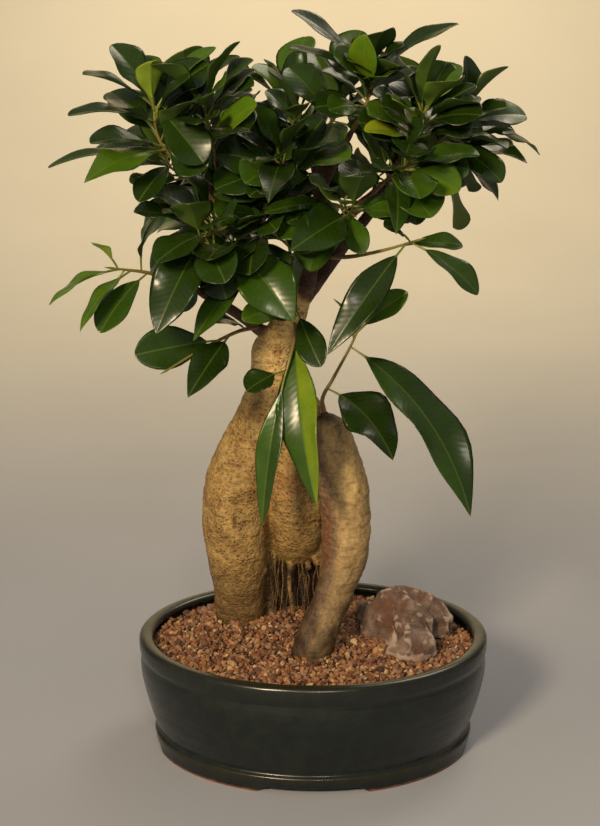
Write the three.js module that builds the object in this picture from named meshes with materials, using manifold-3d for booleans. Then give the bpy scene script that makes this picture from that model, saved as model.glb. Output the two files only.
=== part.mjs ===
// A potted ginseng ficus bonsai: an oval glazed pot with soil, gravel and a stone, a trunk on three
// swollen roots, and a crown of leafy stems. Millimetres, +Z up, the origin under the middle of the
// pot on the surface that it stands on. The front of the tree looks along -Y.
import * as THREE from "three";
import { ConvexGeometry } from "three/addons/geometries/ConvexGeometry.js";
import { mergeVertices } from "three/addons/utils/BufferGeometryUtils.js";
import Module from "manifold-3d";

const wasm = await Module();
wasm.setup();

// Driving dimensions of the pot
const rimHalfLength = 101.5;
const rimHalfDepth = 84;
const potHeight = 67.8;
const rimThickness = 6.6;
const floorTop = 10;
const undersideHeight = 4;
const footRingWidth = 10;
const footHeight = 3.2;
const frontFootGap = 55;
const sideFootGap = 40;
const drainHoleRadius = 7;
const drainHoleX = 44;
const potSides = 40;

// Driving dimensions of the filling
const clearance = 0.3;
const soilTop = 51;
const gravelEdge = 60.5;
const gravelMound = 5.5;
const gravelMoundX = -14;
const gravelMoundY = 6;
const gravelMoundReach = 36;
const gravelGrain = 1.5;
const gravelRings = 8;
const stoneBed = 61.5;
const rootEnd = 38;
const screenSide = 24;
const screenThickness = 1.2;

// Driving dimensions of the leaves
const stalkLength = 8;
const stalkThickness = 1.7;
const stalkRootThickness = 1;
const bladeThickness = 1.1;
const bladeFold = 0.22;
const bladeArch = 0.16;
const neighbourGap = 0.5;

const vec = (x, y, z) => new THREE.Vector3(x, y, z);
const up = vec(0, 0, 1);

// A draw between 0 and 1 from a number, the same on every run.
function draw(seed) {
  const wave = Math.sin(seed * 12.9898) * 43758.5453;
  return wave - Math.floor(wave);
}

// A closed surface through rings of points; a ring of one point is a tip. The diagonals alternate
// from side to side, so a thin blade is split alike on both faces.
function loft(rings) {
  const position = [];
  const index = [];
  const starts = rings.map((ring) => {
    const start = position.length / 3;
    ring.forEach((p) => position.push(p.x, p.y, p.z));
    return start;
  });
  for (let i = 0; i + 1 < rings.length; i++) {
    const [low, high] = [rings[i], rings[i + 1]];
    const [a, b] = [starts[i], starts[i + 1]];
    const sides = Math.max(low.length, high.length);
    for (let k = 0; k < sides; k++) {
      const next = (k + 1) % sides;
      if (low.length === 1) index.push(a, b + next, b + k);
      else if (high.length === 1) index.push(a + k, a + next, b);
      else if (k % 2) index.push(a + k, a + next, b + k, a + next, b + next, b + k);
      else index.push(a + k, a + next, b + next, a + k, b + next, b + k);
    }
  }
  const last = rings.length - 1;
  for (let k = 1; k + 1 < rings[0].length; k++) index.push(starts[0], starts[0] + k + 1, starts[0] + k);
  for (let k = 1; k + 1 < rings[last].length; k++) {
    index.push(starts[last], starts[last] + k, starts[last] + k + 1);
  }
  const geometry = new THREE.BufferGeometry();
  geometry.setAttribute("position", new THREE.Float32BufferAttribute(position, 3));
  geometry.setIndex(index);
  return geometry;
}

// A closed geometry as a solid that can be joined and cut.
function solid(geometry) {
  const bare = geometry.clone();
  bare.deleteAttribute("normal");
  bare.deleteAttribute("uv");
  const merged = mergeVertices(bare, 1e-4);
  return new wasm.Manifold(
    new wasm.Mesh({
      numProp: 3,
      vertProperties: merged.attributes.position.array,
      triVerts: new Uint32Array(merged.index.array),
    }),
  );
}

// A solid back as a geometry.
function surface(body) {
  const mesh = body.getMesh();
  const position = new Float32Array(mesh.numVert * 3);
  for (let i = 0; i < mesh.numVert; i++) {
    position.set(mesh.vertProperties.subarray(i * mesh.numProp, i * mesh.numProp + 3), i * 3);
  }
  const geometry = new THREE.BufferGeometry();
  geometry.setAttribute("position", new THREE.BufferAttribute(position, 3));
  geometry.setIndex(new THREE.BufferAttribute(mesh.triVerts, 1));
  geometry.computeVertexNormals();
  return geometry;
}

const joined = (bodies) => bodies.reduce((whole, body) => whole.add(body));

// A level oval ring about (x, y) at height z.
function oval(x, y, z, halfX, halfY, sides) {
  return Array.from({ length: sides }, (_, k) => {
    const angle = (2 * Math.PI * k) / sides;
    return vec(x + halfX * Math.cos(angle), y + halfY * Math.sin(angle), z);
  });
}

// An upright prism on an oval.
function ovalPrism(x, y, halfX, halfY, low, high, sides) {
  return solid(loft([oval(x, y, low, halfX, halfY, sides), oval(x, y, high, halfX, halfY, sides)]));
}

const box = (x, y, z, width, depth, height) =>
  solid(new THREE.BoxGeometry(width, depth, height).translate(x, y, z));

const tree = new THREE.Group();

function addPiece(name, geometry, color, roughness) {
  const mesh = new THREE.Mesh(geometry, new THREE.MeshStandardMaterial({ color, roughness, metalness: 0 }));
  mesh.name = name;
  tree.add(mesh);
}

// The pot: rings whose inset from the rim's oval is given with their height. A rolled rim band, a
// groove, a full belly, a waist, and a foot ring with a ledge; inside, a steep wall and a flat floor.
const potOutside = [
  [0, 9.2],
  [9.6, 8.1],
  [12, 9.9],
  [21, 7],
  [32, 3.8],
  [44, 1.2],
  [55, 0.5],
  [56.6, 1.2],
  [58.2, 0.2],
  [66, 0],
  [potHeight, 1.2],
];
const potInside = [
  [potHeight, rimThickness - 1.4],
  [40, rimThickness + 1.6],
  [18, rimThickness + 8],
  [floorTop, rimThickness + 14],
];

const potRing = ([z, inset], gap = 0) =>
  oval(0, 0, z, rimHalfLength - inset - gap, rimHalfDepth - inset - gap, potSides);

function pot() {
  const shell = solid(loft([...potOutside, ...potInside].map((row) => potRing(row))));
  const footInset = potOutside[0][1] + footRingWidth;
  const recess = solid(loft([potRing([-1, footInset]), potRing([undersideHeight, footInset])]));
  const cuts = [recess, box(0, 0, 0, frontFootGap, 2 * rimHalfDepth, 2 * footHeight)];
  cuts.push(box(0, 0, 0, 2 * rimHalfLength, sideFootGap, 2 * footHeight));
  for (const x of [-drainHoleX, drainHoleX]) {
    cuts.push(ovalPrism(x, 0, drainHoleRadius, drainHoleRadius, -1, floorTop + 1, 16));
  }
  return cuts.reduce((body, cut) => body.subtract(cut), shell);
}

// The pot's inside between two heights, smaller by the clearance.
function filling(low, high) {
  const heights = potInside.map((row) => row[0]);
  const insetAt = (z) => {
    const i = heights.findIndex((h) => h <= z);
    const [a, b] = [potInside[i - 1], potInside[i]];
    return b[1] + ((a[1] - b[1]) * (z - b[0])) / (a[0] - b[0]);
  };
  const between = heights.filter((h) => h > low && h < high).reverse();
  return [low, ...between, high].map((z) => potRing([z, insetAt(z)], clearance));
}

// The three roots and the neck as level ovals: height, centre X, centre Y, half width, half depth.
const leftRoot = [
  [258, -9, 12, 6.5, 6.5],
  [246, -16, 14, 11, 11],
  [232, -22, 17, 12.9, 12.6],
  [214, -24, 18, 12.9, 13.4],
  [194, -28.5, 20, 16.2, 16.2],
  [174, -35.5, 20, 19.6, 19.4],
  [154, -42.5, 20, 20.6, 21],
  [128, -45.6, 20, 20, 20.6],
  [102, -45, 22, 17.8, 18],
  [82, -44.5, 26, 15.4, 15],
  [64, -44, 30, 14, 13],
  [40, -42, 33, 6, 6],
];
const rightRoot = [
  [197, 6, 2, 5, 5],
  [190, 8.5, 3, 10.5, 10.5],
  [176, 12, 3, 14, 14.5],
  [154, 17.2, 2, 14.5, 15.2],
  [130, 19.2, 0, 14.1, 14.6],
  [110, 17, -5, 12.8, 13.4],
  [94, 11.8, -11, 12.3, 12.8],
  [78, 4.4, -18, 11.8, 12.2],
  [64, -0.6, -22.4, 10.8, 11.2],
  [42, -3, -25, 5, 5],
];
const middleRoot = [
  [222, -20, 20, 8, 8],
  [204, -14, 20, 15.5, 14.5],
  [180, -6.5, 19, 20, 17],
  [150, -8, 20, 19, 18],
  [124, -9, 23, 17.4, 17],
  [108, -9.5, 27, 14, 13.4],
  [98, -8.5, 34, 14, 10],
  [84, -8, 37, 15, 9],
  [64, -8, 38.5, 16, 8.5],
  [42, -8, 40, 9, 5],
];
const rootSides = 10;
const leaderSides = 7;
const branchSides = 5;
const stemSides = 4;

const root = (rows) =>
  solid(loft(rows.toReversed().map(([z, x, y, halfX, halfY]) => oval(x, y, z, halfX, halfY, rootSides))));

// The woody limbs that the leafy stems grow from: points with their radius.
const leader = [[-13, 14, 246, 8], [-6, 11, 264, 5.2], [0, 10, 290, 4.1], [4, 8, 326, 4.4]];
const rootlet = [[-13, 22, 104, 2.6], [-14, 17, 88, 1.6], [-12, 18, 72, 1.5], [-12, 19, 54, 1.2]];

// The leafy stems. wood: the branch of the trunk that carries the stem, as points with their radius.
// stem: the points that the green stem goes on through. leaves: where along the stem the stalk
// starts, from 0 to 1, the leaf's tip, its blade's width, its roll about its own line in degrees,
// and for a leaf that bows sideways, the share of its length. more: how many leaves the rule adds,
// and their length.
const stems = [
  {
    name: "leafy_stem_upper_left",
    wood: [
      [-18, 14, 246, 5.5], [-29, 5, 274, 4.4], [-40, -7, 304, 3.6], [-50, -16, 322, 3], [-60, -24, 334, 2.6],
    ],
    stem: [[-73, -37, 346], [-81, -45, 360], [-82, -47, 376]],
    leaves: [
      [0.95, -115, -70, 392, 15, 0],
      [0.9, -81, -58, 398, 14, 0],
      [0.9, -51, -30, 403, 12, 0],
      [0.8, -39, -22, 398, 12, 0],
      [0.95, -103, -56, 405, 20, 20],
      [0.8, -122, -76, 372, 14, 0],
      [0.5, -112, -72, 358, 18, 20],
      [0.35, -132, -82, 347, 12, 0],
      [0.45, -113, -79, 341, 17, 20],
      [0.3, -89, -68, 328, 14, 20],
      [0.55, -54, -60, 345, 22, 20],
    ],
    more: [6, 40],
  },
  {
    name: "leafy_stem_left_crown",
    wood: [[-50, -16, 322, 2.8], [-51, -22, 336, 2.4]],
    stem: [[-52, -32, 352], [-55, -40, 366], [-57, -43, 374]],
    leaves: [
      [0.75, -30, -42, 392, 20, 0],
      [0.45, -37, -46, 377, 14, 0],
    ],
    more: [8, 38],
  },
  {
    name: "leafy_stem_centre",
    wood: [[2, 9, 306, 3.4], [-6, -6, 322, 2.4]],
    stem: [[-12, -21, 334], [-18, -35, 345]],
    leaves: [
      [0.6, -33, -62, 330, 16, 20],
      [0.9, -22, -106, 333, 18, 10],
    ],
    more: [11, 40],
  },
  {
    name: "leafy_stem_centre_low",
    wood: [[-30, 3, 278, 3.2], [-29, -13, 294, 2.3]],
    stem: [[-27, -26, 306], [-23, -40, 317]],
    leaves: [],
    more: [9, 36],
  },
  {
    name: "leafy_stem_front_left",
    wood: [[-22, 8, 262, 3.6], [-32, -10, 276, 2.2]],
    stem: [[-38, -24, 290], [-43, -38, 302]],
    leaves: [
      [0.95, -10, -62, 265, 28, 0],
      [0.5, -14, -44, 262, 15, 0],
      [0.3, -63, -60, 254, 14, 20],
    ],
    more: [4, 36],
  },
  {
    name: "leafy_stem_top_middle",
    wood: [[4, 8, 326, 3.6], [3, 3, 345, 3], [-3, -2, 354, 2.4]],
    stem: [[-8, -8, 357], [-13, -15, 359]],
    leaves: [
      [0.3, -24, -30, 391, 19, 10],
      [0.7, -4, -28, 389, 12, 20],
      [0.7, -16, -24, 400, 11, -10],
    ],
    more: [4, 26],
  },
  {
    name: "leafy_stem_top_right",
    wood: [[4, 8, 326, 3.6], [12, 5, 342, 3], [21, 0, 358, 2.6]],
    stem: [[27, -6, 369], [29, -12, 379], [28, -16, 387]],
    leaves: [
      [0.6, 26, -12, 405, 12, 0],
      [0.9, -12, -20, 421, 14, -14],
      [0.95, 35, -6, 411, 24, 10],
      [0.5, 10, -46, 399, 24, 20],
      [0.9, 76, -10, 414, 15, -10],
    ],
    more: [9, 32],
  },
  {
    name: "leafy_stem_right_crown",
    wood: [[42, -3, 328, 2.8], [49, -8, 341, 2.4]],
    stem: [[54, -14, 355], [58, -19, 368]],
    leaves: [
      [0.85, 65, -26, 404, 15, 0],
      [0.7, 86, -10, 382, 12, 0],
      [0.6, 40, -48, 378, 12, 0],
      [0.4, 26, -50, 362, 12, 0],
    ],
    more: [10, 38],
  },
  {
    name: "leafy_stem_right_outer",
    wood: [[1, 10, 292, 3.8], [20, 3, 312, 3.2], [42, -3, 328, 2.8], [57, -1, 341, 2.5], [65, 5, 347, 2.3]],
    stem: [[74, 13, 354], [82, 22, 359]],
    leaves: [
      [0.6, 113, 42, 353, 14, 0],
      [0.9, 132, 72, 336, 14, 0],
      [0.3, 101, -12, 331, 18, 30],
    ],
    more: [6, 42],
  },
  {
    name: "leafy_stem_right_middle",
    wood: [[20, 3, 312, 2.8], [32, -8, 325, 2.4]],
    stem: [[41, -19, 335], [50, -29, 343]],
    leaves: [
      [0.8, 76, -40, 330, 20, 20],
      [0.5, 61, -54, 317, 26, 20],
      [0.3, 53, -34, 312, 12, 0],
      [0.6, 42, -50, 311, 14, 0],
    ],
    more: [9, 36],
  },
  {
    name: "leafy_stem_front_crown",
    wood: [[4, 8, 318, 3], [9, -6, 318, 2.4]],
    stem: [[14, -20, 319], [20, -34, 317]],
    leaves: [
      [0.5, 26, -48, 298, 13, 20],
      [0.95, -12, -74, 304, 24, 20],
      [0.4, -14, -58, 316, 16, 20],
      [0.7, -25, -72, 322, 12, 0],
    ],
    more: [8, 36],
  },
  {
    name: "leafy_stem_right_low",
    wood: [[0, 10, 288, 3], [11, -5, 289, 2.2]],
    stem: [[21, -20, 292], [38, -34, 298], [53, -42, 304]],
    leaves: [
      [0.95, 36, -56, 314, 12, 0],
      [0.8, 79, -32, 300, 12, 0],
      [0.9, 7, -70, 249, 17, 0],
      [0.95, 86, -22, 277, 17, 0],
    ],
    more: [0, 36],
  },
  {
    name: "leafy_stem_left_tip",
    wood: [[-22, 12, 238, 4.2], [-42, 0, 256, 3.2], [-60, -14, 270, 2.6], [-74, -24, 279, 2.2]],
    stem: [[-88, -37, 286], [-104, -52, 291]],
    leaves: [
      [0.9, -134, -84, 278, 12, 0],
      [0.5, -110, -72, 261, 16, 20],
      [0.75, -119, -82, 264, 10, 0],
      [0.85, -113, -70, 259, 10, 0],
      [0.6, -84, -50, 316, 14, 20],
      [0.95, -114, -62, 306, 10, 0],
    ],
    more: [0, 36],
  },
  {
    name: "leafy_stem_left_middle",
    wood: [[-40, -7, 304, 2.8], [-46, -18, 306, 2.3]],
    stem: [[-53, -32, 307], [-60, -46, 304]],
    leaves: [
      [0.9, -81, -76, 261, 24, 20],
      [0.6, -80, -74, 298, 18, 20],
      [0.5, -77, -64, 322, 12, 0],
    ],
    more: [7, 40],
  },
  {
    name: "leafy_stem_left_low",
    wood: [[-22, 14, 244, 3.4], [-32, -2, 249, 1.9]],
    stem: [[-42, -19, 250], [-61, -43, 245], [-76, -60, 239]],
    leaves: [
      [0.5, -94, -58, 246, 21, 45],
      [0.2, -58, -50, 263, 14, 30],
      [0.4, -66, -66, 225, 17, 30],
    ],
    more: [0, 36],
  },
  {
    name: "leafy_stem_neck_front",
    wood: [[-9, 12, 256, 4], [-11, 0, 259, 2.6]],
    stem: [[-11, -11, 262], [-9, -19, 263]],
    leaves: [
      [0.9, 4, -46, 237, 15, 20],
      [0.6, -38, -44, 262, 14, 20],
    ],
    more: [0, 36],
  },
  {
    name: "leafy_stem_hanging",
    wood: [[-10, 12, 249, 4], [-10, -2, 249, 2.2]],
    stem: [[-10, -12, 248], [-12, -22, 240], [-16, -28, 226]],
    leaves: [
      [0.3, 2, -50, 160, 21, 0],
      [0.9, -36, -40, 222, 17, 0],
      [0.95, -28, -40, 145, 13, 0],
    ],
    more: [0, 36],
  },
  {
    name: "leafy_stem_root_top",
    wood: [[8, 3, 188, 6], [6, -1, 200, 3.2]],
    stem: [[5, -6, 209], [11, -14, 223], [20, -24, 243], [24, -28, 253]],
    leaves: [
      [0.75, 84, -64, 159, 28, 0, -0.13],
      [0.38, 43, -46, 185, 27, 0, -0.12],
      [0.95, 50, -40, 276, 13, 40],
      [0.9, 27, -46, 281, 10, 0],
      [0.85, 11, -44, 273, 8, 0],
    ],
    more: [0, 36],
  },
  {
    name: "leafy_stem_left_side",
    wood: [[-40, -7, 304, 2.8], [-52, 2, 316, 2.4]],
    stem: [[-68, 12, 328], [-84, 18, 338]],
    leaves: [],
    more: [8, 43],
  },
  {
    name: "leafy_stem_back_left_low",
    wood: [[-30, 34, 274, 3], [-42, 42, 284, 2.4]],
    stem: [[-54, 52, 296], [-62, 60, 308]],
    leaves: [],
    more: [7, 41],
  },
  {
    name: "leafy_stem_back_left_high",
    wood: [[-17, 18, 244, 5.5], [-30, 34, 274, 4], [-44, 48, 302, 3.2], [-54, 56, 326, 2.5]],
    stem: [[-61, 62, 344], [-65, 66, 362]],
    leaves: [],
    more: [9, 45],
  },
  {
    name: "leafy_stem_back_right_high",
    wood: [[-8, 14, 258, 4.6], [12, 30, 282, 3.6], [32, 46, 306, 3], [46, 56, 328, 2.5]],
    stem: [[54, 62, 346], [58, 66, 362]],
    leaves: [],
    more: [9, 45],
  },
  {
    name: "leafy_stem_back_right_low",
    wood: [[32, 46, 306, 2.8], [34, 56, 314, 2.4]],
    stem: [[36, 67, 322], [35, 76, 328]],
    leaves: [],
    more: [7, 41],
  },
  {
    name: "leafy_stem_back_middle",
    wood: [[3, 9, 316, 3.2], [1, 26, 332, 2.8], [-3, 38, 344, 2.4]],
    stem: [[-8, 52, 354], [-12, 66, 360]],
    leaves: [],
    more: [9, 43],
  },
  {
    name: "leafy_stem_back_low",
    wood: [[-14, 22, 254, 3.6], [-14, 38, 268, 2.6]],
    stem: [[-14, 54, 284], [-16, 70, 298]],
    leaves: [],
    more: [8, 43],
  },
  {
    name: "leafy_stem_top_back",
    wood: [[3, 6, 338, 2.8], [4, 15, 352, 2.4]],
    stem: [[10, 26, 360], [16, 34, 366]],
    leaves: [],
    more: [8, 43],
  },
  {
    name: "leafy_stem_right_side",
    wood: [[57, -1, 341, 2.5], [62, 8, 340, 2.3]],
    stem: [[70, 22, 340], [80, 36, 342]],
    leaves: [],
    more: [7, 41],
  },
];

// Points along a curve, as steps of level frames, as one limb. Each point may carry its radius.
function limb(points, sides, stepsEach, bud = 0) {
  const curve = new THREE.CatmullRomCurve3(points.map(([x, y, z]) => vec(x, y, z)));
  const steps = (points.length - 1) * stepsEach;
  const frames = curve.computeFrenetFrames(steps);
  const rings = [];
  for (let i = 0; i <= steps; i++) {
    const at = i / stepsEach;
    const k = Math.min(Math.floor(at), points.length - 2);
    const radius = THREE.MathUtils.lerp(points[k][3], points[k + 1][3], at - k);
    const centre = curve.getPoint(i / steps);
    const ring = Array.from({ length: sides }, (_, j) => {
      const angle = (2 * Math.PI * j) / sides;
      return centre
        .clone()
        .addScaledVector(frames.normals[i], radius * Math.cos(angle))
        .addScaledVector(frames.binormals[i], radius * Math.sin(angle));
    });
    rings.push(ring);
  }
  if (bud) rings.push([curve.getPoint(1).addScaledVector(curve.getTangent(1), bud)]);
  return solid(loft(rings));
}

function trunk() {
  const roots = [leftRoot, rightRoot, middleRoot].map(root);
  const limbs = [limb(leader, leaderSides, 2), limb(rootlet, branchSides, 1)];
  const branches = stems.map(({ wood }) => limb(wood, branchSides, 1));
  return joined([...roots, ...limbs, ...branches]);
}

// The green stem goes on from its branch's end, a clearance away, and ends in a bud.
const stemStartRadius = 2;
const stemStartShare = 0.9;
const stemTipRadius = 1;
const budLength = 7;

function stemPoints({ wood, stem }) {
  const end = vec(...wood.at(-1));
  const before = vec(...wood.at(-2));
  const first = vec(...stem[0]);
  const woodWay = end.clone().sub(before).normalize();
  const stemWay = first.clone().sub(end).normalize();
  const radius = wood.at(-1)[3];
  const gap = clearance + radius * Math.tan(woodWay.angleTo(stemWay));
  const start = end.clone().addScaledVector(stemWay, gap);
  return [start.toArray(), ...stem].map((p, i) => [
    ...p,
    THREE.MathUtils.lerp(Math.min(radius, stemStartRadius) * stemStartShare, stemTipRadius, i / stem.length),
  ]);
}

// One leaf on its stalk: a square stalk, then diamond sections along an arched line, folded up at
// both edges. grown makes it bigger all round, to keep a gap to its neighbours.
const fullBlade = [[0, 0.1], [0.2, 0.6], [0.5, 1], [0.8, 0.78]];
const plainBlade = [[0, 0.1], [0.32, 0.86], [0.7, 0.92]];
const smallLeaf = 15;
const longestStalkShare = 0.3;

function leafSolid({ base, tip, face, width, blade, bow = 0, grown = 0, from = 0 }) {
  const way = tip.clone().sub(base);
  const length = way.length();
  way.normalize();
  const normal = face.clone().addScaledVector(way, -face.dot(way)).normalize();
  const middle = base.clone().lerp(tip, 0.5).addScaledVector(normal, bladeArch * length);
  middle.addScaledVector(way.clone().cross(normal), bow * length);
  const line = new THREE.QuadraticBezierCurve3(base, middle, tip);
  const stalk = Math.min(stalkLength / length, longestStalkShare);
  const section = (t, halfWidth, halfThickness, fold) => {
    const centre = line.getPoint(t);
    const tangent = line.getTangent(t);
    const side = tangent.clone().cross(normal).normalize();
    const top = side.clone().cross(tangent);
    const edge = (sign) =>
      centre.clone().addScaledVector(side, sign * halfWidth).addScaledVector(top, fold * halfWidth);
    return [
      edge(1),
      centre.clone().addScaledVector(top, -halfThickness),
      edge(-1),
      centre.clone().addScaledVector(top, halfThickness),
    ];
  };
  const root = THREE.MathUtils.lerp(stalkRootThickness, stalkThickness, from) / 2 + grown;
  const rings = [section(from * stalk, root, root, 0)];
  for (const [u, share] of blade) {
    const half = Math.max((share * width) / 2, stalkThickness / 2) + grown;
    rings.push(section(stalk + u * (1 - stalk), half, bladeThickness / 2 + grown, u ? bladeFold : 0));
  }
  rings.push([tip.clone().addScaledVector(way, 2 * grown)]);
  return solid(loft(rings));
}

// A leaf's face looks up and outwards from the middle of the crown, and less outwards the more the
// leaf points up. It is rolled about the leaf's line.
const crownMiddle = vec(0, 55, 300);
const faceLean = 0.95;
const faceLeanDrop = 0.8;

function leafFace(base, tip, roll) {
  const middle = base.clone().lerp(tip, 0.5).sub(crownMiddle);
  const way = tip.clone().sub(base).normalize();
  const lean = faceLean - faceLeanDrop * Math.max(0, way.z);
  const face = vec(middle.x, middle.y, 0).normalize().multiplyScalar(lean).add(up);
  return face.applyAxisAngle(way, THREE.MathUtils.degToRad(way.x < 0 ? -roll : roll));
}

// Where a leaf may go: its own place first, then swung aside, step by step, till it is clear.
const swings = [0, 7, -7, 14, -14, 21, -21, 28, -28];

// The leaves that are given by their tips swing to the front or the back of the tree.
function placedLeaf(curve, [along, x, y, z, width, roll, bow = 0]) {
  const base = curve.getPoint(along);
  return swings.map((swing) => {
    const tip = vec(x, y + swing, z);
    const blade = width > smallLeaf ? fullBlade : plainBlade;
    return { base, tip, width, blade, bow, face: leafFace(base, tip, roll) };
  });
}

// The leaves that follow the rule: spiralling round the stem by the golden angle, opening wide low
// down and closing towards the bud, each with its own draw of opening, length and roll. They swing
// round the stem. Angles in degrees.
const goldenAngle = 137.5;
const firstAlong = 0.3;
const alongSpan = 0.65;
const widestOpening = 85;
const openingDrop = 45;
const openingSpread = 16;
const shortestReach = 0.85;
const reachSpread = 0.3;
const rollSpread = 40;
const riseShare = 0.15;
const widthShare = 0.56;
const swingTurn = 5;
const seedsPerStem = 31;

function ruledLeaf(curve, index, [count, length], seed) {
  const along = firstAlong + (alongSpan * (index + 0.5)) / count;
  const base = curve.getPoint(along);
  const tangent = curve.getTangent(along);
  const side = tangent.clone().cross(up).normalize();
  const other = side.clone().cross(tangent);
  const ownOpening = widestOpening - (openingDrop * index) / count + openingSpread * (draw(seed) - 0.5);
  const opening = THREE.MathUtils.degToRad(ownOpening);
  const reach = length * (shortestReach + reachSpread * draw(seed + 0.5));
  return swings.map((swing) => {
    const turn = THREE.MathUtils.degToRad(goldenAngle * (index + 1) + swingTurn * swing) + seed;
    const way = tangent.clone().multiplyScalar(Math.cos(opening));
    way.addScaledVector(side, Math.sin(opening) * Math.cos(turn));
    way.addScaledVector(other, Math.sin(opening) * Math.sin(turn));
    way.z += riseShare;
    const tip = base.clone().addScaledVector(way.normalize(), reach);
    const face = leafFace(base, tip, rollSpread * (draw(seed + 0.3) - 0.5));
    return { base, tip, width: reach * widthShare, blade: plainBlade, face };
  });
}

function apart(a, b) {
  const [p, q] = [a.boundingBox(), b.boundingBox()];
  return [0, 1, 2].some((k) => p.min[k] > q.max[k] || q.min[k] > p.max[k]);
}

// Every leaf in turn takes the first place that is clear of the wood, of the other stems and of the
// leaves before it, the given leaves before the ruled ones. One that finds none is left out. The
// start of the stalk, where it meets its own stem, needs no gap.
const freeStalkShare = 0.6;

function leafyStems(wood) {
  const shoots = stems.map((row, number) => {
    const points = stemPoints(row);
    const curve = new THREE.CatmullRomCurve3(points.map(([x, y, z]) => vec(x, y, z)));
    const given = row.leaves.map((leaf) => placedLeaf(curve, leaf));
    const ruled = Array.from({ length: row.more[0] }, (_, i) =>
      ruledLeaf(curve, i, row.more, seedsPerStem * number + i),
    );
    return { name: row.name, given, ruled, stem: limb(points, stemSides, 1, budLength), leaves: [] };
  });
  for (const kind of ["given", "ruled"]) {
    for (const shoot of shoots) {
      shoot[kind].forEach((places) => {
        const others = [wood, ...shoots.filter((s) => s !== shoot).map((s) => s.stem)];
        others.push(...shoots.flatMap((s) => s.leaves));
        const place = places.find((p) => {
          const probe = leafSolid({ ...p, grown: neighbourGap, from: freeStalkShare });
          return others.every((o) => apart(probe, o) || probe.intersect(o).isEmpty());
        });
        if (place) shoot.leaves.push(leafSolid(place));
      });
    }
  }
  return shoots;
}

// Plain holes for the roots and the rootlet, each a little wider than what stands in it: middle X and
// Y, half width, half depth.
const rootHoles = [
  [-44, 30.2, 15.2, 14.4],
  [-0.8, -22.3, 12.4, 12.6],
  [-8, 38.5, 17.2, 9.7],
  [-12, 18.5, 2.4, 2.4],
];

const holes = (low, high) =>
  joined(rootHoles.map(([x, y, halfX, halfY]) => ovalPrism(x, y, halfX, halfY, low, high, 16)));

// The soil fills the pot up to the gravel, and has plain holes for the roots and a pocket over each
// drain hole for its screen.
function soil() {
  const pockets = [-drainHoleX, drainHoleX].map((x) => {
    const side = screenSide + 2 * clearance;
    return box(x, 0, floorTop, side, side, 2 * (screenThickness + 2 * clearance));
  });
  const cuts = joined([...pockets, holes(rootEnd, soilTop + 1)]);
  return solid(loft(filling(floorTop + clearance, soilTop))).subtract(cuts);
}

// A square drain screen with square openings.
const screenBars = 2;
const screenBar = 2.2;

function screen(x) {
  const z = floorTop + clearance + screenThickness / 2;
  const pitch = (screenSide - screenBar) / screenBars;
  const opening = pitch - screenBar;
  const places = Array.from({ length: screenBars }, (_, i) => (i + 0.5) * pitch - (pitch * screenBars) / 2);
  const openings = places.flatMap((u) =>
    places.map((v) => box(x + u, v, z, opening, opening, 2 * screenThickness)),
  );
  return box(x, 0, z, screenSide, screenSide, screenThickness).subtract(joined(openings));
}

// The gravel: one covering layer whose top is raised grain by grain, level by the rim and mounded at
// the trunk, with a flat bed for the stone.
function gravelHeight(x, y, seed) {
  const away = Math.hypot(x - gravelMoundX, y - gravelMoundY) / gravelMoundReach;
  return gravelEdge + gravelMound * Math.exp(-(away ** 2) / 2) + gravelGrain * (2 * draw(seed) - 1);
}

function gravel(bedding) {
  const rings = filling(soilTop + clearance, gravelEdge);
  const outer = rings.at(-1);
  for (let i = 1; i < gravelRings; i++) {
    const share = 1 - i / gravelRings;
    const ring = outer.map((p, k) => {
      const seed = 2 * potSides * i + k;
      const reach = share + (2 * gravelGrain * (draw(seed + 0.7) - 0.5)) / rimHalfLength;
      return vec(p.x * reach, p.y * reach, gravelHeight(p.x * reach, p.y * reach, seed));
    });
    rings.push(ring);
  }
  rings.push([vec(0, 0, gravelHeight(0, 0, 0))]);
  const cuts = joined([holes(soilTop - 1, openAbove), bedding]);
  return solid(loft(rings)).subtract(cuts);
}

// The stone: a weathered block with a lower lobe in front, each the hull of its corners. It rests on
// a flat bed in the gravel.
const stoneBlock = [
  [29, 14, 0], [34, -2, 0], [70, -4, 0], [80, 8, 0], [76, 24, 0], [58, 32, 0], [38, 28, 0],
  [26.5, 12, 17], [81, 8, 11], [74, 22, 14], [42, -6, 8], [66, -6, 14],
  [33, 12, 23], [45, 12, 26], [60, 13, 26.7], [69, 15, 21], [50, 23, 24], [52, 2, 22],
];
const stoneLobe = [
  [42, -18, 0], [50, -27, 0], [60, -29, 0], [70, -22, 0], [72, -8, 0], [44, 0, 0],
  [45, -20, 6], [54, -27, 7], [68, -20, 8], [50, 0, 18], [62, -4, 18], [54, -14, 14], [64, -14, 12],
];
const stoneMiddleX = 55;
const stoneMiddleY = 2;
const beddingMargin = 1.04;
const openAbove = potHeight + 20;

const hull = (corners) =>
  solid(new ConvexGeometry(corners.map(([x, y, height]) => vec(x, y, stoneBed + height))));

function stoneBedding() {
  const grown = [...stoneBlock, ...stoneLobe].flatMap(([x, y]) => {
    const u = stoneMiddleX + beddingMargin * (x - stoneMiddleX);
    const v = stoneMiddleY + beddingMargin * (y - stoneMiddleY);
    return [vec(u, v, stoneBed - clearance), vec(u, v, openAbove)];
  });
  return solid(new ConvexGeometry(grown));
}

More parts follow.
